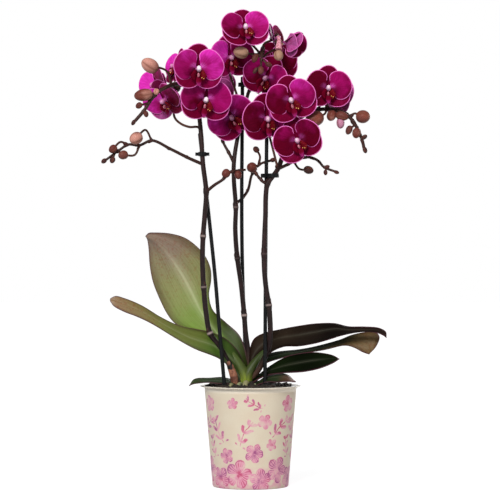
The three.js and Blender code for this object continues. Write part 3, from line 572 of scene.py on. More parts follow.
def path(corners, step=2.0):
    """A smooth path through the corners in steps of about one length, and the corners' places along it."""
    corners = np.array(corners, float)
    ends = [2 * corners[0] - corners[1], *corners, 2 * corners[-1] - corners[-2]]
    points = [corners[0]]
    marks = [0.0]
    for i in range(len(corners) - 1):
        p0, p1, p2, p3 = ends[i : i + 4]
        t1 = np.linalg.norm(p1 - p0) ** 0.5
        t2 = t1 + np.linalg.norm(p2 - p1) ** 0.5
        t3 = t2 + np.linalg.norm(p3 - p2) ** 0.5
        count = max(2, int(np.linalg.norm(p2 - p1) / step))
        for t in np.linspace(t1, t2, count + 1)[1:]:
            a1 = ((t1 - t) * p0 + t * p1) / t1
            a2 = ((t2 - t) * p1 + (t - t1) * p2) / (t2 - t1)
            a3 = ((t3 - t) * p2 + (t - t2) * p3) / (t3 - t2)
            b1 = ((t2 - t) * a1 + t * a2) / t2
            b2 = ((t3 - t) * a2 + (t - t1) * a3) / (t3 - t1)
            points.append(((t2 - t) * b1 + (t - t1) * b2) / (t2 - t1))
        marks.append(len(points) - 1)
    points = np.array(points)
    along = np.concatenate([[0], np.cumsum(np.linalg.norm(np.diff(points, axis=0), axis=1))])
    return points, along, along[np.array(marks, int)]


def laid(spots, step=2.0):
    """The smooth path through spots that are given as they look from the front."""
    return path([place(spot) for spot in spots], step)


def new_mesh(name, points, edges=(), faces=(), marks=None, vectors=None):
    """A mesh from points in millimetres, with a number or a vector for each point under a mark's name."""
    mesh = bpy.data.meshes.new(name)
    mesh.from_pydata((np.asarray(points) * MM).tolist(), list(edges), list(faces))
    for kind, field, rows in (("FLOAT", "value", marks), ("FLOAT_VECTOR", "vector", vectors)):
        for mark, values in (rows or {}).items():
            layer = mesh.attributes.new(mark, kind, "POINT")
            layer.data.foreach_set(field, np.asarray(values, np.float32).ravel())
    return mesh


class Shell:
    """The closed parts of one piece: points in millimetres, faces, and marks that the finishes read."""

    def __init__(self):
        self.points = []
        self.faces = []
        self.finishes = []
        self.marks = {}
        self.count = 0

    def add(self, points, faces, finish=0, **marks):
        points = np.asarray(points, float).reshape(-1, 3)
        self.faces += [[i + self.count for i in face] for face in faces]
        self.finishes += [finish] * len(faces)
        for name in set(self.marks) | set(marks):
            row = self.marks.setdefault(name, [np.zeros(self.count)])
            row.append(np.broadcast_to(np.asarray(marks.get(name, 0.0), float).ravel(), len(points)))
        self.points.append(points)
        self.count += len(points)

    def move(self, matrix):
        """Every point through a 4x4 matrix whose shift is in millimetres."""
        turn = np.array(matrix)[:3, :3]
        shift = np.array(matrix)[:3, 3]
        self.points = [points @ turn.T + shift for points in self.points]

    def piece(self, name, materials, nodes, slot):
        marks = {mark: np.concatenate(rows) for mark, rows in self.marks.items()}
        mesh = new_mesh(name, np.concatenate(self.points), faces=self.faces, marks=marks)
        for material in materials:
            mesh.materials.append(material)
        mesh.polygons.foreach_set("material_index", self.finishes)
        mesh.polygons.foreach_set("use_smooth", [True] * len(mesh.polygons))
        face_outwards(mesh)
        return settle(bpy.data.objects.new(name, mesh), nodes)


def face_outwards(mesh):
    cage = bmesh.new()
    cage.from_mesh(mesh)
    bmesh.ops.recalc_face_normals(cage, faces=cage.faces)
    cage.to_mesh(mesh)
    cage.free()


def settle(piece, nodes):
    """Puts a finished piece on its body, in place of its solids."""
    if piece.name not in bpy.context.scene.collection.objects:
        bpy.context.scene.collection.objects.link(piece)
    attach(piece, "root")
    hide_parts(*nodes)
    return piece


def blade(grid, thick, facing):
    """Points, faces and side marks of a closed blade round a grid of points, its front towards facing."""
    rows, columns = grid.shape[:2]
    normal = unit(np.cross(np.gradient(grid, axis=0), np.gradient(grid, axis=1)))
    if np.sum(normal[rows // 2] * facing) < 0:
        normal = -normal
    offset = normal * np.asarray(thick)[..., None] / 2
    points = np.concatenate([(grid + offset).reshape(-1, 3), (grid - offset).reshape(-1, 3)])
    half = rows * columns
    faces = []
    for i in range(rows - 1):
        for j in range(columns - 1):
            a = i * columns + j
            faces.append([a, a + 1, a + columns + 1, a + columns])
            faces.append([a + half, a + half + columns, a + half + columns + 1, a + half + 1])
    rim = list(range(columns))
    rim += [i * columns + columns - 1 for i in range(1, rows)]
    rim += [(rows - 1) * columns + j for j in range(columns - 2, -1, -1)]
    rim += [i * columns for i in range(rows - 2, 0, -1)]
    for a, b in zip(rim, rim[1:] + rim[:1]):
        faces.append([b, a, a + half, b + half])
    back = np.concatenate([np.zeros(half), np.ones(half)])
    return points, faces, back


def both_sides(values, shape):
    """A mark's values on a blade's grid, for its front points and then its back points."""
    return np.tile(np.broadcast_to(values, shape).ravel(), 2)


def ring_faces(rings, sides, first=0):
    """Faces between rings of points, each joined to the next, counted from the first point."""
    faces = []
    for i in range(rings - 1):
        for j in range(sides):
            a, b = first + i * sides + j, first + i * sides + (j + 1) % sides
            faces.append([a, b, b + sides, a + sides])
    return faces


def tube(centres, radii, sides, stretch=1.0):
    """Points and faces of a closed rod of given radii; stretch is its height over its width, or on an
    upright rod its width over its depth."""
    centres = np.array(centres, float)
    along = unit(np.gradient(centres, axis=0))
    right = unit(np.cross([0.0, 1.0, 0.0] if abs(along[0][1]) < 0.8 else [1.0, 0.0, 0.0], along[0]))
    points = []
    turn = np.arange(sides) * 2 * math.pi / sides
    for centre, way, radius in zip(centres, along, radii):
        right = unit(right - way * np.dot(right, way))
        up = np.cross(way, right)
        ring = np.outer(np.cos(turn) * stretch, right) + np.outer(np.sin(turn), up)
        points.append(centre + radius * ring)
    faces = ring_faces(len(centres), sides)
    last = (len(centres) - 1) * sides
    faces.append(list(range(sides))[::-1])
    faces.append([last + j for j in range(sides)])
    return np.concatenate(points), faces


def lathe(profile, sides):
    """Points and faces of a closed turned form; its profile starts and ends on the axis."""
    turn = np.arange(sides) * 2 * math.pi / sides
    points = [[0, 0, profile[0][1]]]
    for radius, z in profile[1:-1]:
        points += [[radius * math.sin(a), -radius * math.cos(a), z] for a in turn]
    points.append([0, 0, profile[-1][1]])
    faces = [[0, 1 + (j + 1) % sides, 1 + j] for j in range(sides)]
    faces += ring_faces(len(profile) - 2, sides, 1)
    last = 1 + (len(profile) - 3) * sides
    faces += [[last + j, last + (j + 1) % sides, len(points) - 1] for j in range(sides)]
    return np.array(points), faces


# Node trees


class Value:
    """An output in a node tree that plain sums can be written with."""

    def __init__(self, pen, socket):
        self.pen = pen
        self.socket = socket

    def __add__(self, other):
        return self.pen.work("ADD", self, other)

    def __radd__(self, other):
        return self.pen.work("ADD", other, self)

    def __sub__(self, other):
        return self.pen.work("SUBTRACT", self, other)

    def __rsub__(self, other):
        return self.pen.work("SUBTRACT", other, self)

    def __mul__(self, other):
        return self.pen.work("MULTIPLY", self, other)

    def __truediv__(self, other):
        return self.pen.work("DIVIDE", self, other)

    def __abs__(self):
        return self.pen.work("ABSOLUTE", self)


class Pen:
    """Lays nodes down in a tree and joins them."""

    def __init__(self, tree):
        self.tree = tree

    def join(self, value, socket):
        """Links a value to an input, or sets a plain one on it."""
        value = value.socket if isinstance(value, Value) else value
        if isinstance(value, bpy.types.NodeSocket):
            self.tree.links.new(value, socket)
        else:
            socket.default_value = value

    def put(self, kind, inputs=None, **choices):
        node = self.tree.nodes.new(kind)
        for name, value in choices.items():
            setattr(node, name, value)
        for key, value in (inputs or {}).items():
            self.join(value, node.inputs[key])
        return node

    def work(self, operation, *values):
        node = self.put("ShaderNodeMath", dict(enumerate(values)), operation=operation)
        return Value(self, node.outputs[0])

    def span(self, value, low, high, to_low=0.0, to_high=1.0):
        """Value from low to high, eased into to_low to to_high."""
        inputs = {"Value": value, "From Min": low, "From Max": high, "To Min": to_low, "To Max": to_high}
        node = self.put("ShaderNodeMapRange", inputs, interpolation_type="SMOOTHSTEP")
        return Value(self, node.outputs[0])

    def mix(self, share, a, b, blend="MIX"):
        inputs = {0: share, 6: full(a), 7: full(b)}
        return self.put("ShaderNodeMix", inputs, data_type="RGBA", blend_type=blend).outputs[2]

    def noise(self, scale, detail=2.0, roughness=0.5, vector=None):
        """Noise at the point on the piece, or at another vector."""
        vector = self.place() if vector is None else vector
        inputs = {"Vector": vector, "Scale": scale, "Detail": detail, "Roughness": roughness}
        return Value(self, self.put("ShaderNodeTexNoise", inputs).outputs["Fac"])

    def mark(self, name):
        return Value(self, self.put("ShaderNodeAttribute", attribute_name=name).outputs["Fac"])

    def vector(self, x, y, z=0.0):
        return self.put("ShaderNodeCombineXYZ", {0: x, 1: y, 2: z}).outputs[0]

    def parts(self, vector):
        """A vector's three numbers."""
        return [Value(self, part) for part in self.put("ShaderNodeSeparateXYZ", {0: vector}).outputs]

    def place(self):
        """The point on the piece, in metres."""
        return self.put("ShaderNodeTexCoord").outputs["Object"]

    def bump(self, height, strength, distance):
        inputs = {"Height": height, "Strength": strength, "Distance": distance}
        return self.put("ShaderNodeBump", inputs).outputs[0]


def full(value):
    """A colour of three shares as one of four; sockets pass."""
    if isinstance(value, bpy.types.NodeSocket):
        return value
    return (*tuple(value)[:3], 1.0)


def finish(name, paint, **constants):
    """A material: paint lays nodes and returns the linked inputs; constants go on the shader's sockets."""
    material = bpy.data.materials.new(name)
    material.use_nodes = True
    tree = material.node_tree
    tree.nodes.clear()
    pen = Pen(tree)
    inputs = {socket.replace("_", " "): value for socket, value in {**constants, **paint(pen)}.items()}
    shader = pen.put("ShaderNodeBsdfPrincipled", inputs)
    pen.put("ShaderNodeOutputMaterial", {0: shader.outputs[0]})
    return material


def new_tree(name, sockets):
    """An empty Geometry Nodes tree with its named inputs, its pen, and its input and output nodes."""
    tree = bpy.data.node_groups.new(name, "GeometryNodeTree")
    tree.interface.new_socket("Geometry", in_out="INPUT", socket_type="NodeSocketGeometry")
    tree.interface.new_socket("Geometry", in_out="OUTPUT", socket_type="NodeSocketGeometry")
    for label, kind in sockets:
        tree.interface.new_socket(label, in_out="INPUT", socket_type=kind)
    pen = Pen(tree)
    return tree, pen, pen.put("NodeGroupInput"), pen.put("NodeGroupOutput")


def close_tree(pen, entry, leave, geometry):
    """Ends a tree: smooth, real geometry under its material."""
    smooth = pen.put("GeometryNodeSetShadeSmooth", {"Geometry": geometry})
    real = pen.put("GeometryNodeRealizeInstances", {"Geometry": smooth.outputs[0]})
    inputs = {"Geometry": real.outputs[0], "Material": entry.outputs["Material"]}
    covered = pen.put("GeometryNodeSetMaterial", inputs)
    pen.join(covered.outputs[0], leave.inputs[0])


def named(pen, name, kind="FLOAT"):
    node = pen.put("GeometryNodeInputNamedAttribute", {"Name": name}, data_type=kind)
    return Value(pen, next(s for s in node.outputs if s.enabled and s.name == "Attribute"))


def strand_tree():
    """Round strands along every chain of edges, as thick as each point's radius."""
    tree, pen, entry, leave = new_tree(
        "Strands along paths",
        [("Sides", "NodeSocketInt"), ("Thickness", "NodeSocketFloat"), ("Material", "NodeSocketMaterial")],
    )
    paths = pen.put("GeometryNodeMeshToCurve", {"Mesh": entry.outputs["Geometry"]})
    inputs = {"Resolution": entry.outputs["Sides"], "Radius": 1.0}
    round_profile = pen.put("GeometryNodeCurvePrimitiveCircle", inputs)
    scale = named(pen, "radius_m") * entry.outputs["Thickness"]
    inputs = {
        "Curve": paths.outputs[0],
        "Profile Curve": round_profile.outputs[0],
        "Scale": scale,
        "Fill Caps": True,
    }
    close_tree(pen, entry, leave, pen.put("GeometryNodeCurveToMesh", inputs).outputs[0])
    return tree


def copies_tree():
    """A copy of one shape at every point, turned and stretched as the point says."""
    tree, pen, entry, leave = new_tree(
        "Copies at points",
        [("Shape", "NodeSocketObject"), ("Size", "NodeSocketFloat"), ("Material", "NodeSocketMaterial")],
    )
    shape = pen.put("GeometryNodeObjectInfo", {"Object": entry.outputs["Shape"]})
    turn = pen.put("FunctionNodeEulerToRotation", {"Euler": named(pen, "turn", "FLOAT_VECTOR")})
    inputs = {0: named(pen, "stretch", "FLOAT_VECTOR"), "Scale": entry.outputs["Size"]}
    stretch = pen.put("ShaderNodeVectorMath", inputs, operation="SCALE")
    inputs = {
        "Points": entry.outputs["Geometry"],
        "Instance": shape.outputs["Geometry"],
        "Rotation": turn.outputs[0],
        "Scale": stretch.outputs[0],
    }
    close_tree(pen, entry, leave, pen.put("GeometryNodeInstanceOnPoints", inputs).outputs[0])
    return tree


def scatter_tree():
    """Chips strewn over a mound, each at its own turn and size, with the mound itself."""
    tree, pen, entry, leave = new_tree(
        "Chips on a mound",
        [
            ("Chip", "NodeSocketObject"),
            ("Count density", "NodeSocketFloat"),
            ("Seed", "NodeSocketInt"),
            ("Material", "NodeSocketMaterial"),
        ],
    )
    inputs = {
        "Mesh": entry.outputs["Geometry"],
        "Selection": named(pen, "strewn", "BOOLEAN"),
        "Density": entry.outputs["Count density"],
        "Seed": entry.outputs["Seed"],
    }
    spots = pen.put("GeometryNodeDistributePointsOnFaces", inputs)
    chip = pen.put("GeometryNodeObjectInfo", {"Object": entry.outputs["Chip"]})
    inputs = {0: (-0.6, -0.6, 0.0), 1: (0.6, 0.6, 6.3), "Seed": entry.outputs["Seed"]}
    tumble = pen.put("FunctionNodeRandomValue", inputs, data_type="FLOAT_VECTOR")
    turn = pen.put("FunctionNodeEulerToRotation", {"Euler": tumble.outputs[0]})
    inputs = {0: (0.6, 0.6, 0.6), 1: (1.35, 1.25, 1.3), "Seed": 3}
    size = pen.put("FunctionNodeRandomValue", inputs, data_type="FLOAT_VECTOR")
    inputs = {
        "Points": spots.outputs["Points"],
        "Instance": chip.outputs["Geometry"],
        "Rotation": turn.outputs[0],
        "Scale": size.outputs[0],
    }
    chips = pen.put("GeometryNodeInstanceOnPoints", inputs)
    inputs = {2: 0.0, 3: 1.0, "Seed": 11}
    shade = pen.put("FunctionNodeRandomValue", inputs, data_type="FLOAT")
    inputs = {"Geometry": chips.outputs[0], "Name": "shade", "Value": shade.outputs[1]}
    shaded = pen.put("GeometryNodeStoreNamedAttribute", inputs, data_type="FLOAT", domain="INSTANCE")
    both = pen.put("GeometryNodeJoinGeometry")
    pen.join(shaded.outputs[0], both.inputs[0])
    pen.join(entry.outputs["Geometry"], both.inputs[0])
    close_tree(pen, entry, leave, both.outputs[0])
    return tree


def grown(base, tree, **inputs):
    """The object with what a tree makes of it as its plain mesh."""
    scene = bpy.context.scene
    if base.name not in scene.collection.objects:
        scene.collection.objects.link(base)
    modifier = base.modifiers.new(tree.name, "NODES")
    modifier.node_group = tree
    for item in tree.interface.items_tree:
        if item.in_out == "INPUT" and item.name in inputs:
            modifier[item.identifier] = inputs[item.name]
    graph = bpy.context.evaluated_depsgraph_get()
    mesh = bpy.data.meshes.new_from_object(base.evaluated_get(graph), depsgraph=graph)
    base.modifiers.clear()
    base.data = mesh
    if not mesh.polygons:
        raise RuntimeError(f"{base.name} came out empty")
    return base


class Chains:
    """Paths with a radius and marks at every point, for the strand tree."""

    def __init__(self):
        self.points = []
        self.edges = []
        self.radii = []
        self.marks = {}

    def add(self, points, radii, **marks):
        start = len(self.radii)
        count = len(points)
        self.points += list(points)
        self.edges += [(start + i, start + i + 1) for i in range(count - 1)]
        for name in set(self.marks) | set(marks):
            row = self.marks.setdefault(name, [0.0] * start)
            row += list(np.broadcast_to(marks.get(name, 0.0), count))
        self.radii += list(np.broadcast_to(radii, count))

    def piece(self, name, sides, material):
        marks = {"radius_m": np.array(self.radii) * MM, **self.marks}
        base = bpy.data.objects.new(name, new_mesh(name, self.points, self.edges, marks=marks))
        return grown(base, strand_tree(), Sides=sides, Thickness=1.0, Material=material)


# Finishes

# The finishes' second colours, as light, by what they paint. A shade is multiplied in.
TINTS = {
    "petal groove shade": (0.72, 0.5, 0.62),
    "column foot": (0.62, 0.1, 0.36),
    "painted column underside shade": (0.5, 0.22, 0.48),
    "column flush": (0.58, 0.1, 0.36),
    "column speck": (0.7, 0.25, 0.5),
    "tongue tip": (0.27, 0.015, 0.13),
    "stem patch": (0.035, 0.012, 0.014),
    "stem speck": (0.05, 0.03, 0.024),
    "blush speck": (0.36, 0.08, 0.12),
    "stem foot": (0.12, 0.065, 0.045),
    "bract": (0.042, 0.01, 0.009),
    "bud shadow": (0.16, 0.045, 0.035),
    "red bud": (0.1, 0.02, 0.016),
    "dark bud": (0.032, 0.014, 0.013),
    "bud speck": (0.2, 0.07, 0.05),
    "bud seam": (0.16, 0.05, 0.03),
    "bud beak": (0.5, 0.27, 0.2),
    "leaf foot shade": (0.46, 0.4, 0.4),
    "leaf edge shade": (0.6, 0.52, 0.5),
    "leaf dusk shade": (0.24, 0.21, 0.2),
    "leaf vein shade": (0.66, 0.7, 0.55),
    "leaf flush shade": (0.95, 0.66, 0.62),
    "worn stake": (0.016, 0.014, 0.015),
    "pot cloud": (0.58, 0.44, 0.32),
    "pot grain": (0.5, 0.36, 0.24),
    "painted pot rim light": (0.95, 0.86, 0.72),
    "milky cloud": (0.72, 0.68, 0.6),
    "bark shadow": (0.012, 0.008, 0.005),
    "bark grain": (0.06, 0.034, 0.02),
    "left limb": (0.068, 0.1, 0.022),
    "right limb": (0.03, 0.048, 0.01),
    "crown line": (0.045, 0.06, 0.012),
    "dry patch": (0.12, 0.045, 0.03),
    "dry hole": (0.01, 0.006, 0.005),
    "root patch": (0.24, 0.27, 0.14),
    "floor dark": (0.26, 0.26, 0.27),
    "floor light": (0.29, 0.29, 0.29),
}


def petal_finish():
    bloom = settings().bloom

    def paint(pen):
        reach, fan, edge = pen.mark("reach"), pen.mark("fan"), pen.mark("edge")
        back, sepal, tone = pen.mark("back"), pen.mark("sepal"), pen.mark("tone")
        vivid = pen.mark("vivid")
        streak = pen.noise(3.0, 3.0, 0.6, pen.vector(fan * 11.0, reach, tone))
        blotch = pen.noise(70.0, 2.0)
        # Painted light and shade: how lit each side of the bloom is, with random blotches, lighter along one
        # edge of each petal and darker towards its claw.
        tone_and_light = vivid + pen.span(blotch, 0.3, 0.7, -0.14, 0.14)
        tone_and_light = tone_and_light + pen.span(fan, 0.25, 0.9, 0.13, -0.22)
        tone_and_light = tone_and_light + pen.span(reach, 0.15, 0.8, -0.1, 0.08)
        # Painted light: lit petals run to the bright colour, shaded ones to the deep colour.
        petal = pen.mix(pen.span(tone_and_light, 0.5, 1.0), bloom.deep, bloom.petal)
        petal = pen.mix(pen.span(tone_and_light, 1.0, 1.5), petal, bloom.bright)
        # Painted shade: the sepals take a darker crimson than the petals.
        crimson = pen.mix(pen.span(tone_and_light, 0.5, 1.0, 0.45, 0.0), bloom.sepal, bloom.deep)
        crimson = pen.mix(pen.span(tone_and_light, 1.0, 1.5, 0.0, 0.5), crimson, bloom.petal)
        base = pen.mix(sepal, petal, crimson)
        deep = pen.mix(1.0, base, TINTS["petal groove shade"], "MULTIPLY")
        base = pen.mix(pen.span(streak, 0.35, 0.68, 0.25, 1.0), deep, base)
        # Painted highlight: a pale lilac patch on the upper side of each petal's claw, where the fold by the
        # column catches the light.
        claw = pen.span(reach, 0.34, 0.1) * pen.span(streak, 0.35, 0.6, 0.2, 1.0)
        claw = claw * pen.span(tone_and_light, 0.45, 1.1, 0.3, 0.85)
        upper = pen.span(fan, 0.62, 0.42, 0.15, 1.0)
        claw = claw * (upper * (1.0 - sepal))
        front = pen.mix(claw, base, bloom.heart)
        outside = pen.mix(pen.span(tone_and_light, 0.45, 0.9), bloom.deep, bloom.back)
        veins = pen.mix(pen.span(streak, 0.36, 0.8, 0.0, 0.8), outside, base)
        base = pen.mix(back * 0.8, front, veins)
        line = pen.span(edge, bloom.margin / MM * 0.75, bloom.margin / MM * 1.45, 0.92, 0.0)
        line = line * pen.span(reach, 0.05, 0.3)
        base = pen.mix(line, base, bloom.pale)
        height = streak * 0.6 + pen.noise(900.0, 2.0)
        return {
            "Base_Color": base,
            "Roughness": pen.span(streak, 0.2, 0.8, 0.6, 0.45),
            "Normal": pen.bump(height, 0.25, 0.0004),
        }

    return finish(
        "petal magenta",
        paint,
        Sheen_Weight=0.1,
        Sheen_Roughness=0.4,
        Sheen_Tint=(0.75, 0.01, 0.55, 1.0),
        Specular_IOR_Level=0.12,
        Specular_Tint=(1.0, 0.1, 0.7, 1.0),
    )


def lip_finishes():
    lip = settings().lip

    def cap(pen):
        shade = pen.span(pen.mark("rise"), 0.2, 0.6)
        speck = pen.span(pen.noise(1400.0, 1.0), 0.62, 0.72, 0.0, 0.25)
        base = pen.mix(shade, TINTS["column foot"], lip.column)
        # Painted shade: the cap turns greyish lilac towards its underside.
        base = pen.mix(pen.span(pen.mark("wide"), 0.2, -2.6, 0.0, 0.75), base, TINTS["painted column underside shade"])
        base = pen.mix(pen.mark("flush"), base, TINTS["column flush"])
        return {
            "Base_Color": pen.mix(speck, base, TINTS["column speck"]),
            "Normal": pen.bump(pen.noise(1200.0), 0.2, 0.0002),
        }

    def lobe(pen):
        rise, wide = pen.mark("rise"), pen.mark("wide")
        stripe = pen.noise(2.2, vector=pen.vector(wide * 5.0, rise))
        base = pen.mix(pen.span(stripe, 0.4, 0.65, 0.0, 0.6), lip.lobe, lip.tongue)
        # Rust streaks and gold spots go on the right side lobe only; the left lobe stays dark wine as painted
        # shade.
        rust = pen.mark("hand") * pen.span(stripe, 0.45, 0.65, 0.1, 0.6)
        base = pen.mix(rust, base, lip.rust)
        spots = pen.span(pen.noise(1300.0, 1.0), 0.68, 0.74, 0.0, 0.4)
        return {
            "Base_Color": pen.mix(spots * pen.mark("hand"), base, lip.callus),
            "Normal": pen.bump(stripe, 0.3, 0.0004),
        }

    def tongue(pen):
        rise, wide = pen.mark("rise"), pen.mark("wide")
        stripe = pen.noise(2.6, vector=pen.vector(wide * 6.0, rise, 3.0))
        base = pen.mix(pen.span(rise, 0.05, 0.4), lip.lobe, lip.tongue)
        base = pen.mix(pen.span(stripe, 0.5, 0.7, 0.0, 0.7), base, lip.lobe)
        base = pen.mix(pen.span(rise, 0.6, 0.95), base, TINTS["tongue tip"])
        return {"Base_Color": base, "Normal": pen.bump(stripe, 0.3, 0.0004)}

    def callus(pen):
        spots = pen.span(pen.noise(1100.0, 1.0), 0.52, 0.62, 0.0, 0.7)
        base = pen.mix(spots, lip.throat, lip.lobe)
        return {
            "Base_Color": pen.mix(pen.mark("gold"), base, lip.callus),
            "Normal": pen.bump(spots, 0.3, 0.0002),
        }

    wine = (1.0, 0.12, 0.3, 1.0)
    return [
        finish("column white", cap, Roughness=0.32, Subsurface_Weight=0.1, Subsurface_Scale=0.002),
        finish("side lobe wine red", lobe, Roughness=0.5, Specular_IOR_Level=0.12, Specular_Tint=wine),
        finish("tongue crimson", tongue, Roughness=0.5, Specular_IOR_Level=0.12, Specular_Tint=wine),
        finish("callus pink and gold", callus, Roughness=0.4, Specular_IOR_Level=0.3),
    ]


def stem_finish():
    spike = settings().spike

    def paint(pen):
        joint, thin, along = pen.mark("joint"), pen.mark("thin"), pen.mark("along")
        patch = pen.noise(120.0, 4.0, 0.65)
        speck = pen.noise(700.0, 2.0)
        base = pen.mix(thin, spike.stem, spike.stalk)
        base = pen.mix(pen.span(patch, 0.45, 0.7, 0.0, 0.5), base, TINTS["stem patch"])
        base = pen.mix(pen.span(speck, 0.6, 0.75, 0.0, 0.3), base, TINTS["stem speck"])
        base = pen.mix(pen.span(joint, 0.15, 1.2, 0.0, 0.8), base, spike.joint)
        blush = pen.mix(pen.span(speck, 0.5, 0.62), spike.blush, TINTS["blush speck"])
        base = pen.mix(pen.mark("blush"), base, blush)
        base = pen.mix(pen.span(along, 0.08, 0.0, 0.0, 0.6), base, TINTS["stem foot"])
        base = pen.mix(pen.mark("bract") * 0.8, base, TINTS["bract"])
        ridges = patch + speck * 0.4
        return {
            "Base_Color": base,
            "Roughness": pen.span(patch, 0.3, 0.7, 0.38, 0.55),
            "Normal": pen.bump(ridges, 0.35, 0.0006),
        }

    return finish("stem purple brown", paint, Specular_IOR_Level=0.16)


def bud_finish():
    spike = settings().spike

    def paint(pen):
        seam, tip, tint = pen.mark("seam"), pen.mark("tip"), pen.mark("tint")
        cheek = pen.noise(60.0, 2.0)
        base = pen.mix(pen.span(cheek, 0.35, 0.52), TINTS["bud shadow"], spike.bud)
        base = pen.mix(pen.span(cheek, 0.5, 0.66, 0.0, 0.8), base, spike.bud_cheek)
        # Pink buds are pinker towards the tip: their own pink, together with a painted highlight on that end.
        pink = pen.span(tint, 0.0, -1.0) * pen.span(tip, 0.2, 0.7, 0.6, 0.95)
        base = pen.mix(pink, base, spike.bud_cheek)
        base = pen.mix(pen.span(tint, -1.0, -2.0, 0.0, 0.8), base, spike.bud_olive)
        base = pen.mix(pen.span(tint, -2.0, -3.0, 0.0, 0.9), base, spike.bud_mauve)
        base = pen.mix(pen.span(tint, 0.1, 0.6, 0.0, 0.9), base, TINTS["red bud"])
        base = pen.mix(pen.span(tint, 0.58, 0.95, 0.0, 0.85), base, TINTS["dark bud"])
        speck = pen.noise(800.0, 2.0)
        base = pen.mix(pen.span(speck, 0.58, 0.75, 0.0, 0.35), base, TINTS["bud speck"])
        base = pen.mix(seam * 0.75, base, TINTS["bud seam"])
        beak = pen.span(tip, 0.8, 1.0, 0.0, 0.45) * pen.span(tint, 0.5, 0.0)
        base = pen.mix(beak, base, TINTS["bud beak"])
        height = speck * 0.3 - seam
        return {"Base_Color": base, "Normal": pen.bump(height, 0.4, 0.0005)}

    return finish("bud olive pink", paint, Roughness=0.45, Specular_IOR_Level=0.14)


def leaf_finish(name):
    leaf = settings().leaf
    under = [linear(code) for code in LEAVES[name]["under"]]
    upper = [linear(code) for code in LEAVES[name]["upper"]]

    def paint(pen):
        along, across, back = pen.mark("along"), pen.mark("across"), pen.mark("back")
        width = abs(across)
        cloud = pen.noise(28.0, 3.0)
        drift = along + (cloud - 0.5) * 0.35

        def side(colours):
            lower = pen.mix(pen.span(drift, 0.25, 0.65), colours[0], colours[1])
            return pen.mix(pen.span(drift, 0.6, 0.95), lower, colours[2])

        base = pen.mix(back, side(upper), side(under))
        shaded = pen.mix(1.0, base, TINTS["leaf foot shade"], "MULTIPLY")
        base = pen.mix(pen.span(along, 0.3, 0.06), base, shaded)
        # Painted shade: darker towards both edges.
        edge_shaded = pen.mix(1.0, base, TINTS["leaf edge shade"], "MULTIPLY")
        base = pen.mix(pen.span(width + cloud * 0.3, 0.75, 1.15), base, edge_shaded)
        # Painted shade on the right side of the leaf's foot, as strong as the leaf's table gives.
        dark = pen.mix(1.0, base, TINTS["leaf dusk shade"], "MULTIPLY")
        dusk = pen.span(across, 0.0, 0.5) * pen.span(along, 0.5, 0.3)
        base = pen.mix(dusk * LEAVES[name].get("dusk", 0.0), base, dark)
        lines = pen.noise(4.0, 3.0, 0.6, pen.vector(across * 7.0, along, back))
        veined = pen.mix(1.0, base, TINTS["leaf vein shade"], "MULTIPLY")
        base = pen.mix(pen.span(lines, 0.42, 0.62, 0.0, 0.5), base, veined)
        freckle = pen.noise(420.0, 2.0)
        flushed = pen.mix(1.0, base, TINTS["leaf flush shade"], "MULTIPLY")
        flush = pen.span(freckle, 0.5, 0.68) * pen.span(along, 0.3, 0.9, 0.15, 0.8)
        base = pen.mix(flush, base, flushed)
        pale = pen.mix(1.0, base, leaf.rib, "SCREEN")
        streak = LEAVES[name]["streak"]
        glow = pen.span(width, 0.3, 0.0, 0.0, 0.25 * streak) * pen.span(along, 0.97, 0.7)
        base = pen.mix(glow, base, pale)
        rib = pen.span(width, 0.06, 0.01, 0.0, 0.3 * streak) * pen.span(along, 0.97, 0.7)
        base = pen.mix(rib, base, pale)
        base = pen.mix(pen.span(pen.mark("edge"), 1.1, 0.3, 0.0, 0.85), base, leaf.margin)
        height = lines + freckle * 0.35
        return {
            "Base_Color": base,
            "Roughness": pen.span(cloud, 0.3, 0.7, 0.46, 0.34),
            "Normal": pen.bump(height, 0.2, 0.0006),
        }

    return finish(f"leaf {name.replace('_', ' ')}", paint, Specular_IOR_Level=LEAVES[name]["gloss"])


def stake_finish():
    pot = settings().pot

    def paint(pen):
        grain = pen.noise(500.0, 3.0)
        worn = pen.span(pen.noise(90.0, 2.0), 0.5, 0.8, 0.0, 0.5)
        base = pen.mix(worn, pot.stake, TINTS["worn stake"])
        return {
            "Base_Color": base,
            "Roughness": pen.span(grain, 0.3, 0.7, 0.35, 0.55),
            "Normal": pen.bump(grain, 0.2, 0.0003),
        }

    return finish("stake black", paint, Specular_IOR_Level=0.12)


def motif_group(name, outline):
    """A shader group that gives the ink, from 0 to 1, of one printed motif at a point on the pot's side."""
    tree = bpy.data.node_groups.new(name, "ShaderNodeTree")
    for label in ("Round", "Up", "Centre round", "Centre up", "Size", "Turn"):
        tree.interface.new_socket(label, in_out="INPUT", socket_type="NodeSocketFloat")
    tree.interface.new_socket("Ink", in_out="OUTPUT", socket_type="NodeSocketFloat")
    pen = Pen(tree)
    entry, leave = pen.put("NodeGroupInput"), pen.put("NodeGroupOutput")
    around, height, side, up, size = (Value(pen, socket) for socket in entry.outputs[:5])
    spot = pen.vector((around - side) / size, (height - up) / size)
    inputs = {"Vector": spot, "Angle": entry.outputs["Turn"]}
    turned = pen.put("ShaderNodeVectorRotate", inputs, rotation_type="Z_AXIS")
    x, y, _ = pen.parts(turned.outputs[0])
    pen.join(outline(pen, x, y), leave.inputs[0])
    return tree


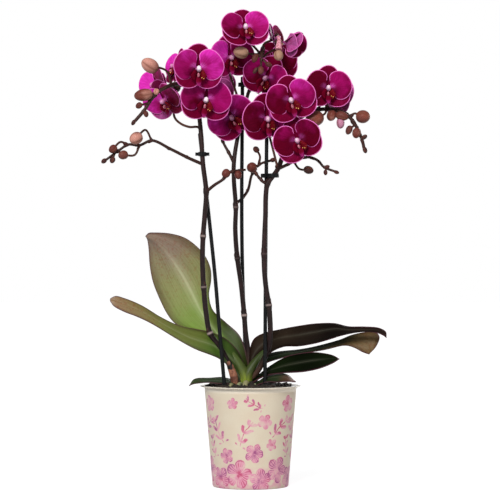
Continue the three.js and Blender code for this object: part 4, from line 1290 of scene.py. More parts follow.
def blossom_ink(pen, x, y):
    """Five rounded petals with a pale heart and darker streaks."""
    radius = pen.work("SQRT", x * x + y * y)
    angle = pen.work("ARCTAN2", y, x)
    swing = abs(pen.work("COSINE", angle * 2.5))
    reach = 0.5 + pen.work("POWER", swing, 0.45) * 0.5
    share = radius / reach
    inside = pen.span(share, 1.05, 0.97)
    border = pen.span(share, 0.82, 0.98, 0.0, 0.35)
    streak = pen.span(pen.work("COSINE", angle * 25.0), 0.2, 0.9, 0.0, 0.35)
    heart = pen.span(radius, 0.42, 0.1, 0.0, 0.4)
    lines = pen.work("MAXIMUM", pen.work("MAXIMUM", border, streak), heart)
    gap = pen.span(swing, 0.02, 0.2, 0.45, 1.0)
    return inside * gap * (0.6 + lines)


def sprig_ink(pen, x, y):
    """A curved stem with three pairs of small pointed leaves."""
    bend = x - y * y * 0.18
    inside = pen.span(y, -1.02, -0.96) * pen.span(y, 1.02, 0.96)
    stem = pen.span(abs(bend), 0.05, 0.02) * inside
    side = abs(bend)
    rise = y - side * 0.9
    beat = pen.work("FRACT", (rise + 1.0) * 1.5) - 0.5
    width = pen.work("SINE", pen.work("MINIMUM", side * 2.1, 1.0) * math.pi)
    leaf = pen.span(abs(beat), width * 0.36, width * 0.22)
    leaf = leaf * pen.span(width, 0.02, 0.2)
    return pen.work("MAXIMUM", stem, leaf * (inside * 0.85))


# The print repeats round the pot, laid out at its middle radius. Each motif has its place round and up, its
# size and its turn.
PRINT_REPEATS = 3
PRINT_RADIUS = 42
PRINT = [
    ("blossom", 8, 10, 12.5, 0.3),
    ("blossom", 31, 15, 14.5, 1.2),
    ("blossom", 55, 9, 12, 0.9),
    ("blossom", 75, 19, 13.5, 0.1),
    ("blossom", 18, 33, 8, 0.6),
    ("blossom", 48, 36, 9.5, 1.4),
    ("blossom", 66, 44, 6, 0.5),
    ("blossom", 58, 67, 7.5, 0.2),
    ("blossom", 85, 84, 8.5, 0.8),
    ("blossom", 27, 85, 5.5, 1.0),
    ("sprig", 38, 56, 14, 0.5),
    ("sprig", 8, 58, 14, -0.4),
    ("sprig", 76, 62, 14, 0.9),
    ("sprig", 47, 84, 10, -1.0),
    ("sprig", 86, 42, 11, -0.2),
]


def pot_finish():
    pot = settings().pot

    def paint(pen):
        x, y, z = pen.parts(pen.place())
        radius = pen.work("SQRT", x * x + y * y)
        turn = pen.work("ARCTAN2", x, y * -1.0)
        share = turn / (2 * math.pi) + 0.5
        share = pen.work("FRACT", share * float(PRINT_REPEATS))
        repeat = 2 * math.pi * PRINT_RADIUS / PRINT_REPEATS
        wobble = pen.put("ShaderNodeTexNoise", {"Vector": pen.place(), "Scale": 160.0, "Detail": 3.0})
        shake = [(part - 0.5) * 3.0 for part in pen.parts(wobble.outputs["Color"])[:2]]
        around = share * repeat + shake[0]
        up = z * (1 / MM) + shake[1]
        groups = {
            "blossom": motif_group("Printed blossom", blossom_ink),
            "sprig": motif_group("Printed sprig", sprig_ink),
        }
        ink = 0.0
        for kind, side, height, size, angle in PRINT:
            for shift in (0, -repeat, repeat):
                if shift and repeat - size > side > size:
                    continue
                if (shift < 0 and side < repeat / 2) or (shift > 0 and side > repeat / 2):
                    continue
                inputs = {0: around, 1: up, 2: side + shift, 3: height, 4: size, 5: angle}
                motif = pen.put("ShaderNodeGroup", inputs, node_tree=groups[kind])
                ink = pen.work("MAXIMUM", ink, motif.outputs[0])
        wash = pen.noise(110.0, 4.0, 0.6)
        soft = pen.noise(45.0, 2.0)
        ink = ink * pen.span(wash, 0.3, 0.6, 0.3, 0.95)
        outside = pen.span(radius, (pot.foot - 2 * pot.wall) * 0.98, pot.foot * 0.99)
        ink = ink * outside
        ink = ink * pen.span(z, pot.height * 0.985, pot.height * 0.96)
        ground = pen.mix(pen.span(soft, 0.3, 0.7, 0.0, 0.35), pot.cream, TINTS["pot cloud"])
        low = pen.span(z, 0.034, 0.006) * pen.span(wash, 0.38, 0.6)
        low = low * outside
        ground = pen.mix(low * 0.75, ground, pot.wash)
        grain = pen.noise(1500.0, 2.0)
        ground = pen.mix(pen.span(grain, 0.4, 0.7, 0.0, 0.12), ground, TINTS["pot grain"])
        line_colour = pen.mix(pen.span(soft, 0.42, 0.58), pot.rose, pot.mauve)
        base = pen.mix(pen.span(ink, 0.0, 0.5, 0.0, 0.9), ground, pot.wash)
        base = pen.mix(pen.span(ink, 0.45, 0.95), base, line_colour)
        # Painted light: a paler band just below the rim, lifting the shadow that the culture pot's flange
        # casts.
        rim = pen.span(z, pot.height * 0.94, pot.height * 0.972)
        base = pen.mix(rim, base, TINTS["painted pot rim light"])
        return {
            "Base_Color": base,
            "Roughness": pen.span(grain, 0.3, 0.7, 0.42, 0.55),
            "Normal": pen.bump(grain, 0.12, 0.0002),
        }

    return finish("pot cream blossom print", paint, Specular_IOR_Level=0.45)


def culture_finish():
    pot = settings().pot

    def paint(pen):
        cloud = pen.noise(60.0, 2.0)
        base = pen.mix(pen.span(cloud, 0.35, 0.65, 0.0, 0.25), pot.milky, TINTS["milky cloud"])
        return {
            "Base_Color": base,
            "Roughness": pen.span(cloud, 0.3, 0.7, 0.12, 0.25),
            "Normal": pen.bump(pen.noise(300.0), 0.1, 0.0003),
        }

    return finish("culture pot milky", paint, Transmission_Weight=0.25, IOR=1.3, Specular_IOR_Level=0.3)


def bark_finish():
    pot = settings().pot

    def paint(pen):
        shade = pen.mark("shade")
        grain = pen.noise(260.0, 5.0, 0.7)
        base = pen.mix(shade, pot.bark, TINTS["bark shadow"])
        base = pen.mix(pen.span(grain, 0.45, 0.75, 0.0, 0.55), base, TINTS["bark grain"])
        return {
            "Base_Color": base,
            "Roughness": 0.85,
            "Normal": pen.bump(grain, 0.8, 0.0012),
        }

    return finish("bark chips", paint)


def crown_finish():
    pot = settings().pot

    def paint(pen):
        root, rise = pen.mark("root"), pen.mark("rise")
        lines = pen.noise(3.0, 3.0, vector=pen.vector(pen.mark("round") * 5.0, rise, root))
        arm = pen.mix(pen.mark("limb"), TINTS["left limb"], TINTS["right limb"])
        base = pen.mix(pen.span(rise, 0.3, 0.52), pot.crown, arm)
        base = pen.mix(pen.span(lines, 0.4, 0.65, 0.0, 0.5), base, TINTS["crown line"])
        patch = pen.noise(130.0, 3.0)
        dry = pen.mix(pen.span(patch, 0.35, 0.6), pot.dry, TINTS["dry patch"])
        dry = pen.mix(pen.span(pen.noise(75.0, 1.0), 0.57, 0.6), dry, TINTS["dry hole"])
        base = pen.mix(pen.mark("dry"), base, dry)
        bare = pen.mix(pen.span(patch, 0.4, 0.65), pot.root, TINTS["root patch"])
        base = pen.mix(root, base, bare)
        return {
            "Base_Color": base,
            "Roughness": pen.span(lines, 0.3, 0.7, 0.35, 0.5),
            "Normal": pen.bump(lines + patch, 0.3, 0.0006),
        }

    return finish("crown green and roots", paint, Specular_IOR_Level=0.25)


# Blooms

# A petal's or sepal's outline (a higher width power is narrower), the angle that it fans out by, how wide its
# claw is and how far out it starts, how hollow it is, how far it leans and curls forwards in degrees, and how
# far forwards its layer lies.
FORM = ("width", "splay", "claw", "start", "cup", "lean", "curl", "layer")
PETAL = dict(zip(FORM, (0.46, 78, 2.4, 2.8, 0.07, 6, 30, 0.6)))
SEPAL = dict(zip(FORM, (1.3, 76, 3.0, 0.0, 0.05, 2, 10, -1.6)))
SIDE_SEPAL = dict(zip(FORM, (0.7, 66, 3.0, 0.0, 0.07, 3, 24, -1.4)))
# Points across a petal or sepal, and the shares of its length where its rows lie.
FAN = 41
RINGS = (0, 0.06, 0.13, 0.21, 0.3, 0.39, 0.48, 0.57, 0.66, 0.74, 0.81, 0.87, 0.92, 0.955, 0.98, 1)
# The way that a bloom faces before it is turned.
OUT = np.array([0.0, -1.0, 0.0])
# The places of the lip's finishes in its list of materials.
COLUMN, LOBE, TONGUE, CALLUS = range(4)


def tepal(shell, form, reach, turn, closing, draw, sepal, vivid, turned=False):
    """Adds one petal or sepal: a rounded fan from its claw, bent forwards along its length."""
    spread = np.linspace(-1, 1, FAN)
    angle = spread * math.radians(form["splay"])
    wave = 1 + 0.012 * np.sin(3 * angle + draw.uniform(0, 6.3)) + 0.008 * np.sin(7 * angle)
    low_side = np.where(angle > 0, 0.06 * np.sin(angle) ** 2, 0)
    outline = (reach - form["start"]) * np.cos(angle) ** form["width"] * (wave - low_side)
    ring = np.array(RINGS)[:, None]
    along = form["start"] + ring * outline * np.cos(angle)
    across = form["claw"] / 2 * spread + ring * outline * np.sin(angle)
    flat = np.stack([along, across], -1)
    border = np.concatenate([flat[-1], flat[:, 0], flat[:, -1]])
    fine = np.concatenate([border[:-1] + (border[1:] - border[:-1]) * s for s in (0, 0.25, 0.5, 0.75)])
    edge = np.linalg.norm(flat[:, :, None, :] - fine[None, None], axis=-1).min(-1)
    lean = math.radians(form["lean"] + draw.uniform(-2, 2)) + closing[0]
    curl = math.radians(form["curl"] + draw.uniform(-4, 4)) + closing[1]
    rate = max(curl - lean, 1e-3)
    share = along / reach
    outwards = reach * (np.sin(lean + rate * share) - math.sin(lean)) / rate
    forwards = reach * (math.cos(lean) - np.cos(lean + rate * share)) / rate
    half = np.abs(across).max()
    ruffle = 0.45 * ring**3 * np.sin(4.5 * angle + draw.uniform(0, 6.3))
    lift = form["cup"] * across**2 / half + ruffle - 0.9 * ring**7 + 0.03 * draw.uniform(-1, 1) * across
    outwards = outwards - lift * np.sin(lean + rate * share)
    forwards = forwards + lift * np.cos(lean + rate * share) + form["layer"]
    turn = math.radians(turn + draw.uniform(-2, 2))
    axis = np.array([math.sin(turn), 0, math.cos(turn)])
    side = np.array([axis[2], 0, -axis[0]]) * (-1 if turn < -0.2 else 1)
    grid = outwards[..., None] * axis + across[..., None] * side + forwards[..., None] * OUT
    thick = settings().bloom.thickness / MM * (0.45 + 0.55 * smooth_step(0, 2.5, edge))
    points, faces, back = blade(grid, thick, OUT)
    edge = edge + 2.5 * (1 - smooth_step(0.12, 0.42, np.hypot(along, across) / reach))
    shell.add(
        points,
        faces,
        edge=both_sides(edge, along.shape),
        reach=both_sides(ring, along.shape),
        fan=both_sides(angle / math.pi + 0.5, along.shape),
        back=np.maximum(back, turned),
        sepal=sepal,
        vivid=vivid * draw.uniform(0.94, 1.06),
        tone=draw.uniform(0, 9),
    )


def stand(spot):
    """Where a bloom's own millimetres go: its place, turn and size."""
    at, yaw, pitch, roll, size = spot
    turn = (
        Matrix.Rotation(math.radians(yaw), 4, "Z")
        @ Matrix.Rotation(-math.radians(pitch), 4, "X")
        @ Matrix.Rotation(math.radians(roll), 4, "Y")
    )
    return Matrix.Translation(Vector(place(at))) @ turn @ Matrix.Scale(size, 4)


def bloom_piece(name, spot, seed, material, closing=(0.0, 0.0)):
    draw = np.random.default_rng(seed)
    bloom = settings().bloom
    shell = Shell()
    petal_reach = bloom.petal_length / MM
    sepal_reach = bloom.sepal_length / MM
    left, right, _ = PETAL_LIGHT_AND_FLUSH[name]
    tepal(shell, SEPAL, sepal_reach, 0, closing, draw, 1.0, left)
    for turn, vivid in ((115, right), (-115, left)):
        turned = (name, turn) in TURNED_SEPALS
        tepal(shell, SIDE_SEPAL, sepal_reach, turn, closing, draw, 1.0, vivid, turned)
    for turn, vivid in ((72, right), (-72, left)):
        tepal(shell, PETAL, petal_reach, turn, closing, draw, 0.0, vivid)
    ovary = [(0, 6, 0), (0, 4, 0.2), (0, 2, 0.2), (0, 0.4, 0), (0, -1.2, 0)]
    points, faces = tube(ovary, [1.3, 1.7, 2.2, 3.0, 3.0], 12)
    shell.add(points, faces, edge=9.0, reach=0.4, back=1.0, sepal=1.0, vivid=1.0)
    shell.move(stand(spot))
    return shell.piece(f"{name}_tepals", [material], [f"bloom_{name}"], "tepal")


def lip_piece(name, spot, seed, materials):
    draw = np.random.default_rng(seed)
    drop = settings().lip.drop / MM
    shell = Shell()
    knob = [
        (0, -0.6, -0.2), (0, -2.4, 0.1), (0, -4.2, 0.3), (0, -5.6, 0.4), (0, -6.8, 0.2), (0, -7.8, -0.2),
        (0, -8.5, -0.7), (0, -8.9, -1.1),
    ]
    points, faces = tube(knob, [1.3, 1.5, 1.8, 2.2, 2.35, 2.1, 1.4, 0.5], 16, 1.38)
    flush = PETAL_LIGHT_AND_FLUSH[name][2]
    rise = np.clip(-points[:, 1] / 9, 0, 1)
    shell.add(points, faces, COLUMN, rise=rise, wide=points[:, 2], flush=flush)

    def lay(u, v, x, y, z, thick, finish, **marks):
        grid = np.stack(np.broadcast_arrays(x, y, z), -1)
        points, faces, _ = blade(grid, np.full(grid.shape[:2], thick), OUT)
        rise, wide = (both_sides(value, grid.shape[:2]) for value in (u, v))
        shell.add(points, faces, finish, rise=rise, wide=wide, **marks)

    for hand in (-1, 1):
        u = np.linspace(0, 1, 14)[:, None]
        v = np.linspace(-1, 1, 13)[None, :]
        tall = 1.6 + 3.6 * np.sin(math.pi * np.minimum(0.12 + 0.84 * u, 1)) ** 0.8
        x = hand * (1.0 + 8.2 * u - 1.2 * u**2 - 1.8 * v**2 * u)
        y = -3.6 - 3.8 * np.sin(2.4 * u) - 0.6 * np.sin(2 * v) + 1.8 * u * v**2
        z = -5.4 + v * tall - 1.4 * u
        lay(u, v, x, y, z, 0.6, LOBE, hand=(hand + 1) / 2)
    u = np.linspace(0, 1, 20)[:, None]
    v = np.linspace(-1, 1, 13)[None, :]
    half = 1.2 + 1.7 * np.sin(math.pi * np.clip(u, 0, 1) ** 1.5) ** 1.2 - 0.8 * u**4
    x = v * half
    y = -4.0 - 5.2 * np.sin(1.5 * u) - 0.9 * u**3 + 0.16 * x**2
    z = -4.6 - (drop - 1.6) * u + 0.05 * x**2
    lay(u, v, x, y, z, 0.7, TONGUE)
    s = np.linspace(0, 1, 10)
    for hand in (-1, 1):
        whisker = [hand * (0.3 + 2.2 * s), -9.8 - 1.4 * np.sin(2.4 * s), -drop - 2.4 - 1.6 * s + 2.2 * s**2]
        points, faces = tube(np.stack(whisker, -1), 0.42 - 0.27 * s, 6)
        shell.add(points, faces, TONGUE, rise=0.98)
    bump = [
        (-0.4, -4.6, -5.2), (-0.4, -6.2, -5.8), (-0.4, -7.4, -6.3), (-0.4, -8.2, -6.7), (-0.4, -8.6, -7.0),
    ]
    points, faces = tube(bump, [1.0, 1.25, 1.2, 0.9, 0.3], 12, 1.9)
    shell.add(points, faces, CALLUS)
    for across, up in ((3.0, -8.6), (4.9, -9.4)):
        spots = [(across, -7.2, up), (across, -8.2, up), (across, -8.8, up)]
        points, faces = tube(spots, [0.4, 0.55, 0.2], 8)
        shell.add(points, faces, CALLUS, gold=1.0)
    shell.move(stand(spot) @ Matrix.Rotation(math.radians(draw.uniform(-4, 4)), 4, "Y"))
    return shell.piece(f"{name}_lip", materials, [f"lip_{name}"], "lip")


# Spikes, buds and bracts

# How long the bracts are at a bud's stalk, a bloom's stalk, a twig's bends, a joint and a stem's tip.
BRACT_SIZES = {"bud": 5.0, "bloom": 6.0, "twig": 5.0, "joint": 8.0, "tip": 6.5}


def stem_chain(chains, plan, radius):
    points, along, corners = laid(plan["stem"])
    share = along / along[-1]
    taper = np.interp(share, [0, 0.6, 1], [1, 0.6 + 0.5 * plan["tip"], plan["tip"]])
    away = np.array([np.abs(along - corners[i]) for i in plan["joints"]])
    swell = 1 + 0.28 * np.exp(-((away.min(axis=0) / 2.2) ** 2))
    paleness = np.array(list(plan["joints"].values()))[:, None]
    joint = np.max(paleness * (1 - smooth_step(0, 2.2, away)), axis=0)
    chains.add(points, radius * taper * swell, joint=joint, thin=0.5 * share**3, along=share)


def bloom_stalk(name, start):
    """A stalk that leaves the stem, swings round behind the bloom and meets its ovary."""
    matrix = np.array(stand(BLOOMS.get(name, OPENING)))
    neck, ovary = (matrix[:3, :3] @ (0, away, up) + matrix[:3, 3] for away, up in ((14, -1), (5, 0)))
    first = place(start)
    swing = [place(spot) for spot in STALK_SWINGS.get(name, ())] or [(first + neck) / 2 + (0, 2.5, 1.5)]
    return path([first, *swing, neck, ovary], 1.5)[0]


def spike_piece(side, material):
    spike = settings().spike
    plan = SPIKES[side]
    chains = Chains()
    stem_chain(chains, plan, spike.stem_radius / MM)
    for spots in plan["twigs"]:
        points, along, _ = laid(spots, 1.5)
        share = along / along[-1]
        radii = spike.twig_radius / MM * (1.1 - 0.35 * share)
        chains.add(points, radii, thin=0.35, along=0.5)
    for at, _, _, stalk in plan["buds"]:
        points, _, _ = laid((*stalk, at), 1.0)
        chains.add(points, spike.stalk_radius / MM, thin=0.7, along=0.5)
    for name, start in plan["stalks"].items():
        points = bloom_stalk(name, start)
        chains.add(points, spike.stalk_radius / MM * 1.1, thin=1.0, along=0.5)
    if side == "middle":
        points, along, corners = laid(SWOLLEN_STALK, 0.8)
        chains.add(points, np.interp(along, corners, SWOLLEN_RADII), along=0.5, blush=1.0)
    piece = chains.piece(f"stems_{side}", spike.sides, material)
    return settle(piece, [f"spike_{side}"])


def bud_shape():
    """A bud as long and wide as one millimetre, its tip along +Z: three cheeks that meet in seams."""
    rows, sides = 14, 24
    points, marks = [], {"seam": [], "tip": []}
    for i in range(rows + 1):
        s = i / rows
        angle = math.pi * s
        radius = math.sin(angle) ** 0.85 * (1 - 0.18 * s**2) * 0.53
        for j in range(sides):
            turn = 2 * math.pi * j / sides
            seam = math.exp(-((abs((turn * 3 / (2 * math.pi) + 0.5) % 1 - 0.5) / 0.09) ** 2))
            beak = 1 - 0.07 * seam * math.sin(angle)
            reach = max(radius, 0.004) * beak
            rise = -0.5 * math.cos(angle) + 0.02 * s**6
            points.append((reach * math.cos(turn), reach * math.sin(turn), rise))
            marks["seam"].append(seam * math.sin(angle) ** 0.5)
            marks["tip"].append(s)
    faces = ring_faces(rows + 1, sides)
    faces.append(list(range(sides))[::-1])
    faces.append([rows * sides + j for j in range(sides)])
    mesh = new_mesh("bud shape", points, faces=faces, marks=marks)
    face_outwards(mesh)
    return bpy.data.objects.new("bud shape", mesh)


def bract_shape():
    """A pointed scale one millimetre long that wraps round what it grows on, its tip along +Z."""
    u = np.linspace(0, 1, 7)[:, None]
    v = np.linspace(-1, 1, 9)[None, :]
    wrap = 2.0 * v * (1 - u**1.6)
    radius = 0.3 + 0.12 * u
    grid = np.stack(np.broadcast_arrays(radius * np.cos(wrap) - 0.3 * u, radius * np.sin(wrap), u), -1)
    points, faces, _ = blade(grid, np.full(grid.shape[:2], 0.07), np.array([1.0, 0, 0]))
    mesh = new_mesh("bract shape", points, faces=faces, marks={"bract": np.ones(len(points))})
    face_outwards(mesh)
    return bpy.data.objects.new("bract shape", mesh)


def turn_to(direction, twist=0.0):
    """Euler angles that bring +Z to a direction after a twist about it."""
    quaternion = Vector(direction).to_track_quat("Z", "Y")
    return tuple((quaternion.to_matrix() @ Matrix.Rotation(twist, 3, "Z")).to_euler())


def strewn_copies(name, points, turns, stretches, shape, material, marks=None):
    """One copy of the shape at each point, as its own piece of a flower spike."""
    vectors = {"turn": turns, "stretch": stretches}
    base = bpy.data.objects.new(name, new_mesh(name, points, marks=marks, vectors=vectors))
    piece = grown(base, copies_tree(), Shape=shape, Size=1.0, Material=material)
    return settle(piece, [f"spike_{name.split('_')[1]}"])


def bud_piece(side, shape, material):
    plan = SPIKES[side]
    draw = np.random.default_rng(len(side))
    points, turns, stretches, tints = [], [], [], []
    for i, (at, tip, (long, wide), _) in enumerate(plan["buds"]):
        points.append(place(at))
        turns.append(turn_to((tip[0], tip[2], tip[1]), draw.uniform(0, 6.3)))
        stretches.append((wide, wide, long))
        brown = np.interp(wide, [4, 8, 12], [1.0, 0.6, 0.0]) * draw.uniform(0.8, 1.0)
        tints.append(BUD_TINTS.get(plan["tints"].get(i), brown))
    return strewn_copies(f"buds_{side}", points, turns, stretches, shape, material, {"tint": tints})


def bract_piece(side, shape, material):
    plan = SPIKES[side]
    draw = np.random.default_rng(40 + len(side))
    points, turns, stretches = [], [], []

    def wrap(start, onward, size):
        points.append(start)
        turns.append(turn_to(unit(onward), draw.uniform(0, 6.3)))
        stretches.append((size, size, size * 1.1))

    for _, _, _, stalk in plan["buds"]:
        if len(stalk) > 1:
            wrap(place(stalk[0]), place(stalk[1]) - place(stalk[0]), BRACT_SIZES["bud"])
    for name, start in plan["stalks"].items():
        stalk = bloom_stalk(name, start)
        wrap(stalk[0], stalk[3] - stalk[0], BRACT_SIZES["bloom"])
    for spots in plan["twigs"]:
        for first, second in zip(spots[1:-1], spots[2:]):
            wrap(place(first), place(second) - place(first), BRACT_SIZES["twig"])
    stem = [place(spot) for spot in plan["stem"]]
    for i in plan["joints"]:
        wrap(stem[i], stem[i + 1] - stem[i - 1], BRACT_SIZES["joint"])
    for first, second in zip(stem[-6:-1], stem[-5:]):
        wrap(first, second - first, BRACT_SIZES["tip"])
    return strewn_copies(f"bracts_{side}", points, turns, stretches, shape, material)


# Leaves

# Points along and across a leaf.
LEAF_GRID = (84, 27)


def leaf_piece(name):
    """A leaf laid between its edges and its midrib, thick at the foot, with a groove along the midrib."""
    leaf = settings().leaf
    plan = LEAVES[name]
    rows, columns = LEAF_GRID
    share = 1 - (1 - np.linspace(0, 1, rows)) ** 1.35
    lines = {}
    for line in ("left", "rib", "right"):
        points, along, _ = laid(plan[line], 0.8)
        lines[line] = np.stack([np.interp(share * along[-1], along, points[:, k]) for k in range(3)], -1)
        reach = share * along[-1]
    rib = lines["rib"]
    sides = {}
    for line in ("left", "right"):
        gap = lines[line] - rib
        size = np.linalg.norm(gap, axis=1)
        last = np.nonzero(size > 0.6)[0][-1]
        gap[last + 1 :] = unit(gap[last]) * np.maximum(size[last + 1 :, None], 0.25)
        sides[line] = gap
    across = np.sin(np.linspace(-1, 1, columns) * math.pi / 2)[None, :, None]
    half = (sides["right"] - sides["left"])[:, None] / 2
    bend = (sides["right"] + sides["left"])[:, None] / 2
    grid = rib[:, None] + half * across + bend * np.abs(across) ** 1.4
    normal = unit(np.cross(np.gradient(grid, axis=0), np.gradient(grid, axis=1)))
    faces_up = np.array(plan["faces"])
    if np.sum(normal[rows // 2] * faces_up) < 0:
        normal = -normal
    across = across[..., 0]
    wide = np.linalg.norm(half, axis=-1)
    wave = 0.45 * np.sin(share[:, None] * 15 + 2 * across) * across**2
    wave = wave * smooth_step(0.15, 0.4, share)[:, None]
    groove = -0.5 * np.exp(-((across / 0.07) ** 2))
    grid = grid + normal * ((wave + groove) * np.minimum(wide / 4, 1))[..., None]
    gap = np.minimum(wide * (1 - np.abs(across)), (reach[-1] - reach)[:, None])
    foot = 1 + 1.5 * np.exp(-reach / 16)[:, None]
    thick = leaf.thickness / MM * (0.35 + 0.65 * smooth_step(0, 5, gap)) * foot
    points, faces, back = blade(grid, thick, faces_up)

    shell = Shell()
    marks = {"along": share[:, None], "across": across, "edge": gap}
    marks = {mark: both_sides(values, gap.shape) for mark, values in marks.items()}
    shell.add(points, faces, back=back, **marks)
    return shell.piece(f"leaf_{name}_blade", [leaf_finish(name)], [f"leaf_{name}"], "leaf")


# Pots, bark, crown and stakes

POT_SIDES, BARK_SIDES, CROWN_SIDES, SHEATH_SIDES, ROD_SIDES = 144, 72, 36, 20, 16
RIM_BEAD = 0.7
STAKE_RADIUS = 1.9
CHIP_SIZE = (8.5, 5.6, 3.0)


def pot_piece():
    pot = settings().pot
    height, foot, rim, wall = (v / MM for v in (pot.height, pot.foot, pot.rim, pot.wall))
    bead = RIM_BEAD
    side = [(foot + (rim - foot) * s, 1 + (height - 2 * bead - 1) * s) for s in np.linspace(0, 1, 24)]
    roll = [
        (rim + bead * math.sin(a), height - bead - bead * math.cos(a)) for a in np.linspace(0.4, 2.9, 8)
    ]
    inner = [(rim - wall + (foot - rim) * s, height - 0.3 - (height - 2) * s) for s in np.linspace(0, 1, 12)]
    profile = [(0, 0), (foot - 2, 0), (foot - 1, 0), (foot - 0.4, 0.3), *side, *roll]
    profile += [(rim - wall + 0.4, height), *inner, (foot - wall - 2, 1.6), (0, 1.6)]
    shell = Shell()
    shell.add(*lathe(profile, POT_SIDES))
    return shell.piece("outer_pot_shell", [pot_finish()], ["outer_pot"], "outer_pot")


def culture_piece():
    pot = settings().pot
    flange, seat, wall = pot.flange / MM, pot.height / MM + 0.15, 0.6
    profile = [
        (0, 4), (31, 4), (32, 4.5), (42.5, seat - 0.6), (42.7, seat), (flange - wall, seat),
        (flange - wall, seat - 0.3), (flange - 0.2, seat - 0.4), (flange, seat - 0.3), (flange, seat + 0.2),
        (flange - 0.2, seat + 0.4), (41.9, seat + 0.4), (41.6, seat + 0.1), (31.2, 5.2), (30.4, 4.9),
        (0, 4.9),
    ]
    shell = Shell()
    shell.add(*lathe(profile, POT_SIDES))
    return shell.piece("culture_pot_shell", [culture_finish()], ["culture_pot"], "culture_pot")


def chip_shape():
    """A rough slab of bark with a few dozen faces."""
    draw = np.random.default_rng(5)
    cage = bmesh.new()
    bmesh.ops.create_cube(cage, size=1.0)
    bmesh.ops.subdivide_edges(cage, edges=cage.edges[:], cuts=1, use_grid_fill=True)
    for vert in cage.verts:
        co = np.array(vert.co) * CHIP_SIZE
        reach = np.linalg.norm(np.array(vert.co) * 2)
        vert.co = (co * (1.12 - 0.14 * reach) + draw.uniform(-0.6, 0.6, 3)) * MM
    mesh = bpy.data.meshes.new("chip shape")
    cage.to_mesh(mesh)
    cage.free()
    return bpy.data.objects.new("chip shape", mesh)


def bark_piece():
    pot = settings().pot
    seat = pot.height / MM + 0.35

    def inner(z):
        """The mound's radius at a height, just inside the culture pot's wall."""
        return 32 + 10.5 * (z - 4) / (seat - 4) - 1.4

    draw = np.random.default_rng(pot.seed)
    brim, crest = 99.4, 102.0
    top = [(inner(brim) * s, brim + (crest - brim) * (1 - s)) for s in np.linspace(1, 0, 14)[1:-1]]
    wall = [(inner(z), z) for z in np.linspace(6.5, brim, 9)]
    profile = [(0, 5.4), (inner(5.4), 5.4), *wall, *top, (0, crest)]
    points, faces = lathe(profile, BARK_SIDES)
    lumps = (points[:, 2] > brim - 0.5) & (np.hypot(points[:, 0], points[:, 1]) < inner(brim) - 1)
    points[:, 2] += np.where(lumps, draw.uniform(-1.2, 1.0, len(points)), 0)
    shades = {"shade": draw.uniform(0.6, 1.0, len(points))}
    mesh = new_mesh("bark mound", points, faces=faces, marks=shades)
    face_outwards(mesh)
    strewn = mesh.attributes.new("strewn", "BOOLEAN", "FACE")
    reach = 40 * MM
    middle = [p.center.z > (brim - 0.9) * MM and p.center.xy.length < reach for p in mesh.polygons]
    strewn.data.foreach_set("value", middle)
    base = bpy.data.objects.new("bark_chips", mesh)
    inputs = {
        "Chip": chip_shape(),
        "Count density": pot.chips / (math.pi * reach**2),
        "Seed": pot.seed,
        "Material": bark_finish(),
    }
    return settle(grown(base, scatter_tree(), **inputs), ["bark"])


def round_marks(along, sides):
    """How far along and how far round each point of a rod lies."""
    rise = np.repeat(along / along[-1], sides)
    return {"rise": rise, "round": np.tile(np.arange(sides) / sides, len(along))}


def crown_piece(material):
    """The fleshy feet of the leaves, which part in a V, and the dry sheath round the left spike's foot."""
    shell = Shell()
    limbs = [
        (
            [
                (-5.6, 84, -2), (-5.8, 94, -3), (-6, 104, -4), (-7, 112, -4.5), (-10.6, 119.5, -4.5),
                (-15.5, 127, -4), (-22, 136, -3), (-29, 146, -1),
            ],
            (4.8, 5.6, 5.9, 5.8, 5.3, 4.6, 3.4, 1.0),
        ),
        (
            [
                (-3.8, 84, -2), (-3.6, 94, -3), (-3.4, 104, -4), (-2.2, 112, -4.5), (1.6, 119, -3.5),
                (6.5, 126, -1.5), (12.5, 133, 1), (19, 139, 4),
            ],
            (4.6, 5.3, 5.5, 5.3, 4.8, 3.9, 2.8, 1.0),
        ),
    ]
    for limb, (corners, radii) in enumerate(limbs):
        points, along, marks = laid(corners, 1.5)
        thick = np.interp(along, marks, radii)
        points, faces = tube(points, thick, CROWN_SIDES, 0.96)
        shell.add(points, faces, limb=limb, **round_marks(along, CROWN_SIDES))
    spots = [(-14, 95, -8), (-15.2, 103, -9.5), (-17.5, 112, -11), (-20, 119, -12.5), (-22.5, 125, -13.5)]
    points, along, marks = laid(spots, 1.0)
    thick = np.interp(along, marks, (4.4, 4.2, 3.8, 3.4, 2.7))
    points, faces = tube(points, thick, SHEATH_SIDES)
    shell.add(points, faces, dry=1.0, **round_marks(along, SHEATH_SIDES))
    return shell.piece("crown_sheaths", [material], ["crown"], "crown")


def root_piece(material):
    chains = Chains()
    for radius, spots in ROOTS:
        points, along, _ = laid(spots, 1.0)
        knobs = 1 + 0.06 * np.sin(along * 0.9) + 0.04 * np.sin(along * 2.3)
        chains.add(points, radius * knobs, root=1.0, rise=0.2, round=0.5)
    return settle(chains.piece("crown_roots", ROD_SIDES, material), ["crown"])


def stake_piece(side, material):
    chains = Chains()
    points, _, _ = laid(STAKES[side], 3.0)
    points = np.concatenate([points, [points[-1] + unit(points[-1] - points[-2]) * s for s in (0.25, 0.4)]])
    radii = np.full(len(points), STAKE_RADIUS)
    radii[-3:] = (1.75, 1.3, 0.5)
    chains.add(points, radii)
    return settle(chains.piece(f"stake_{side}_rod", ROD_SIDES, material), [f"stake_{side}"])


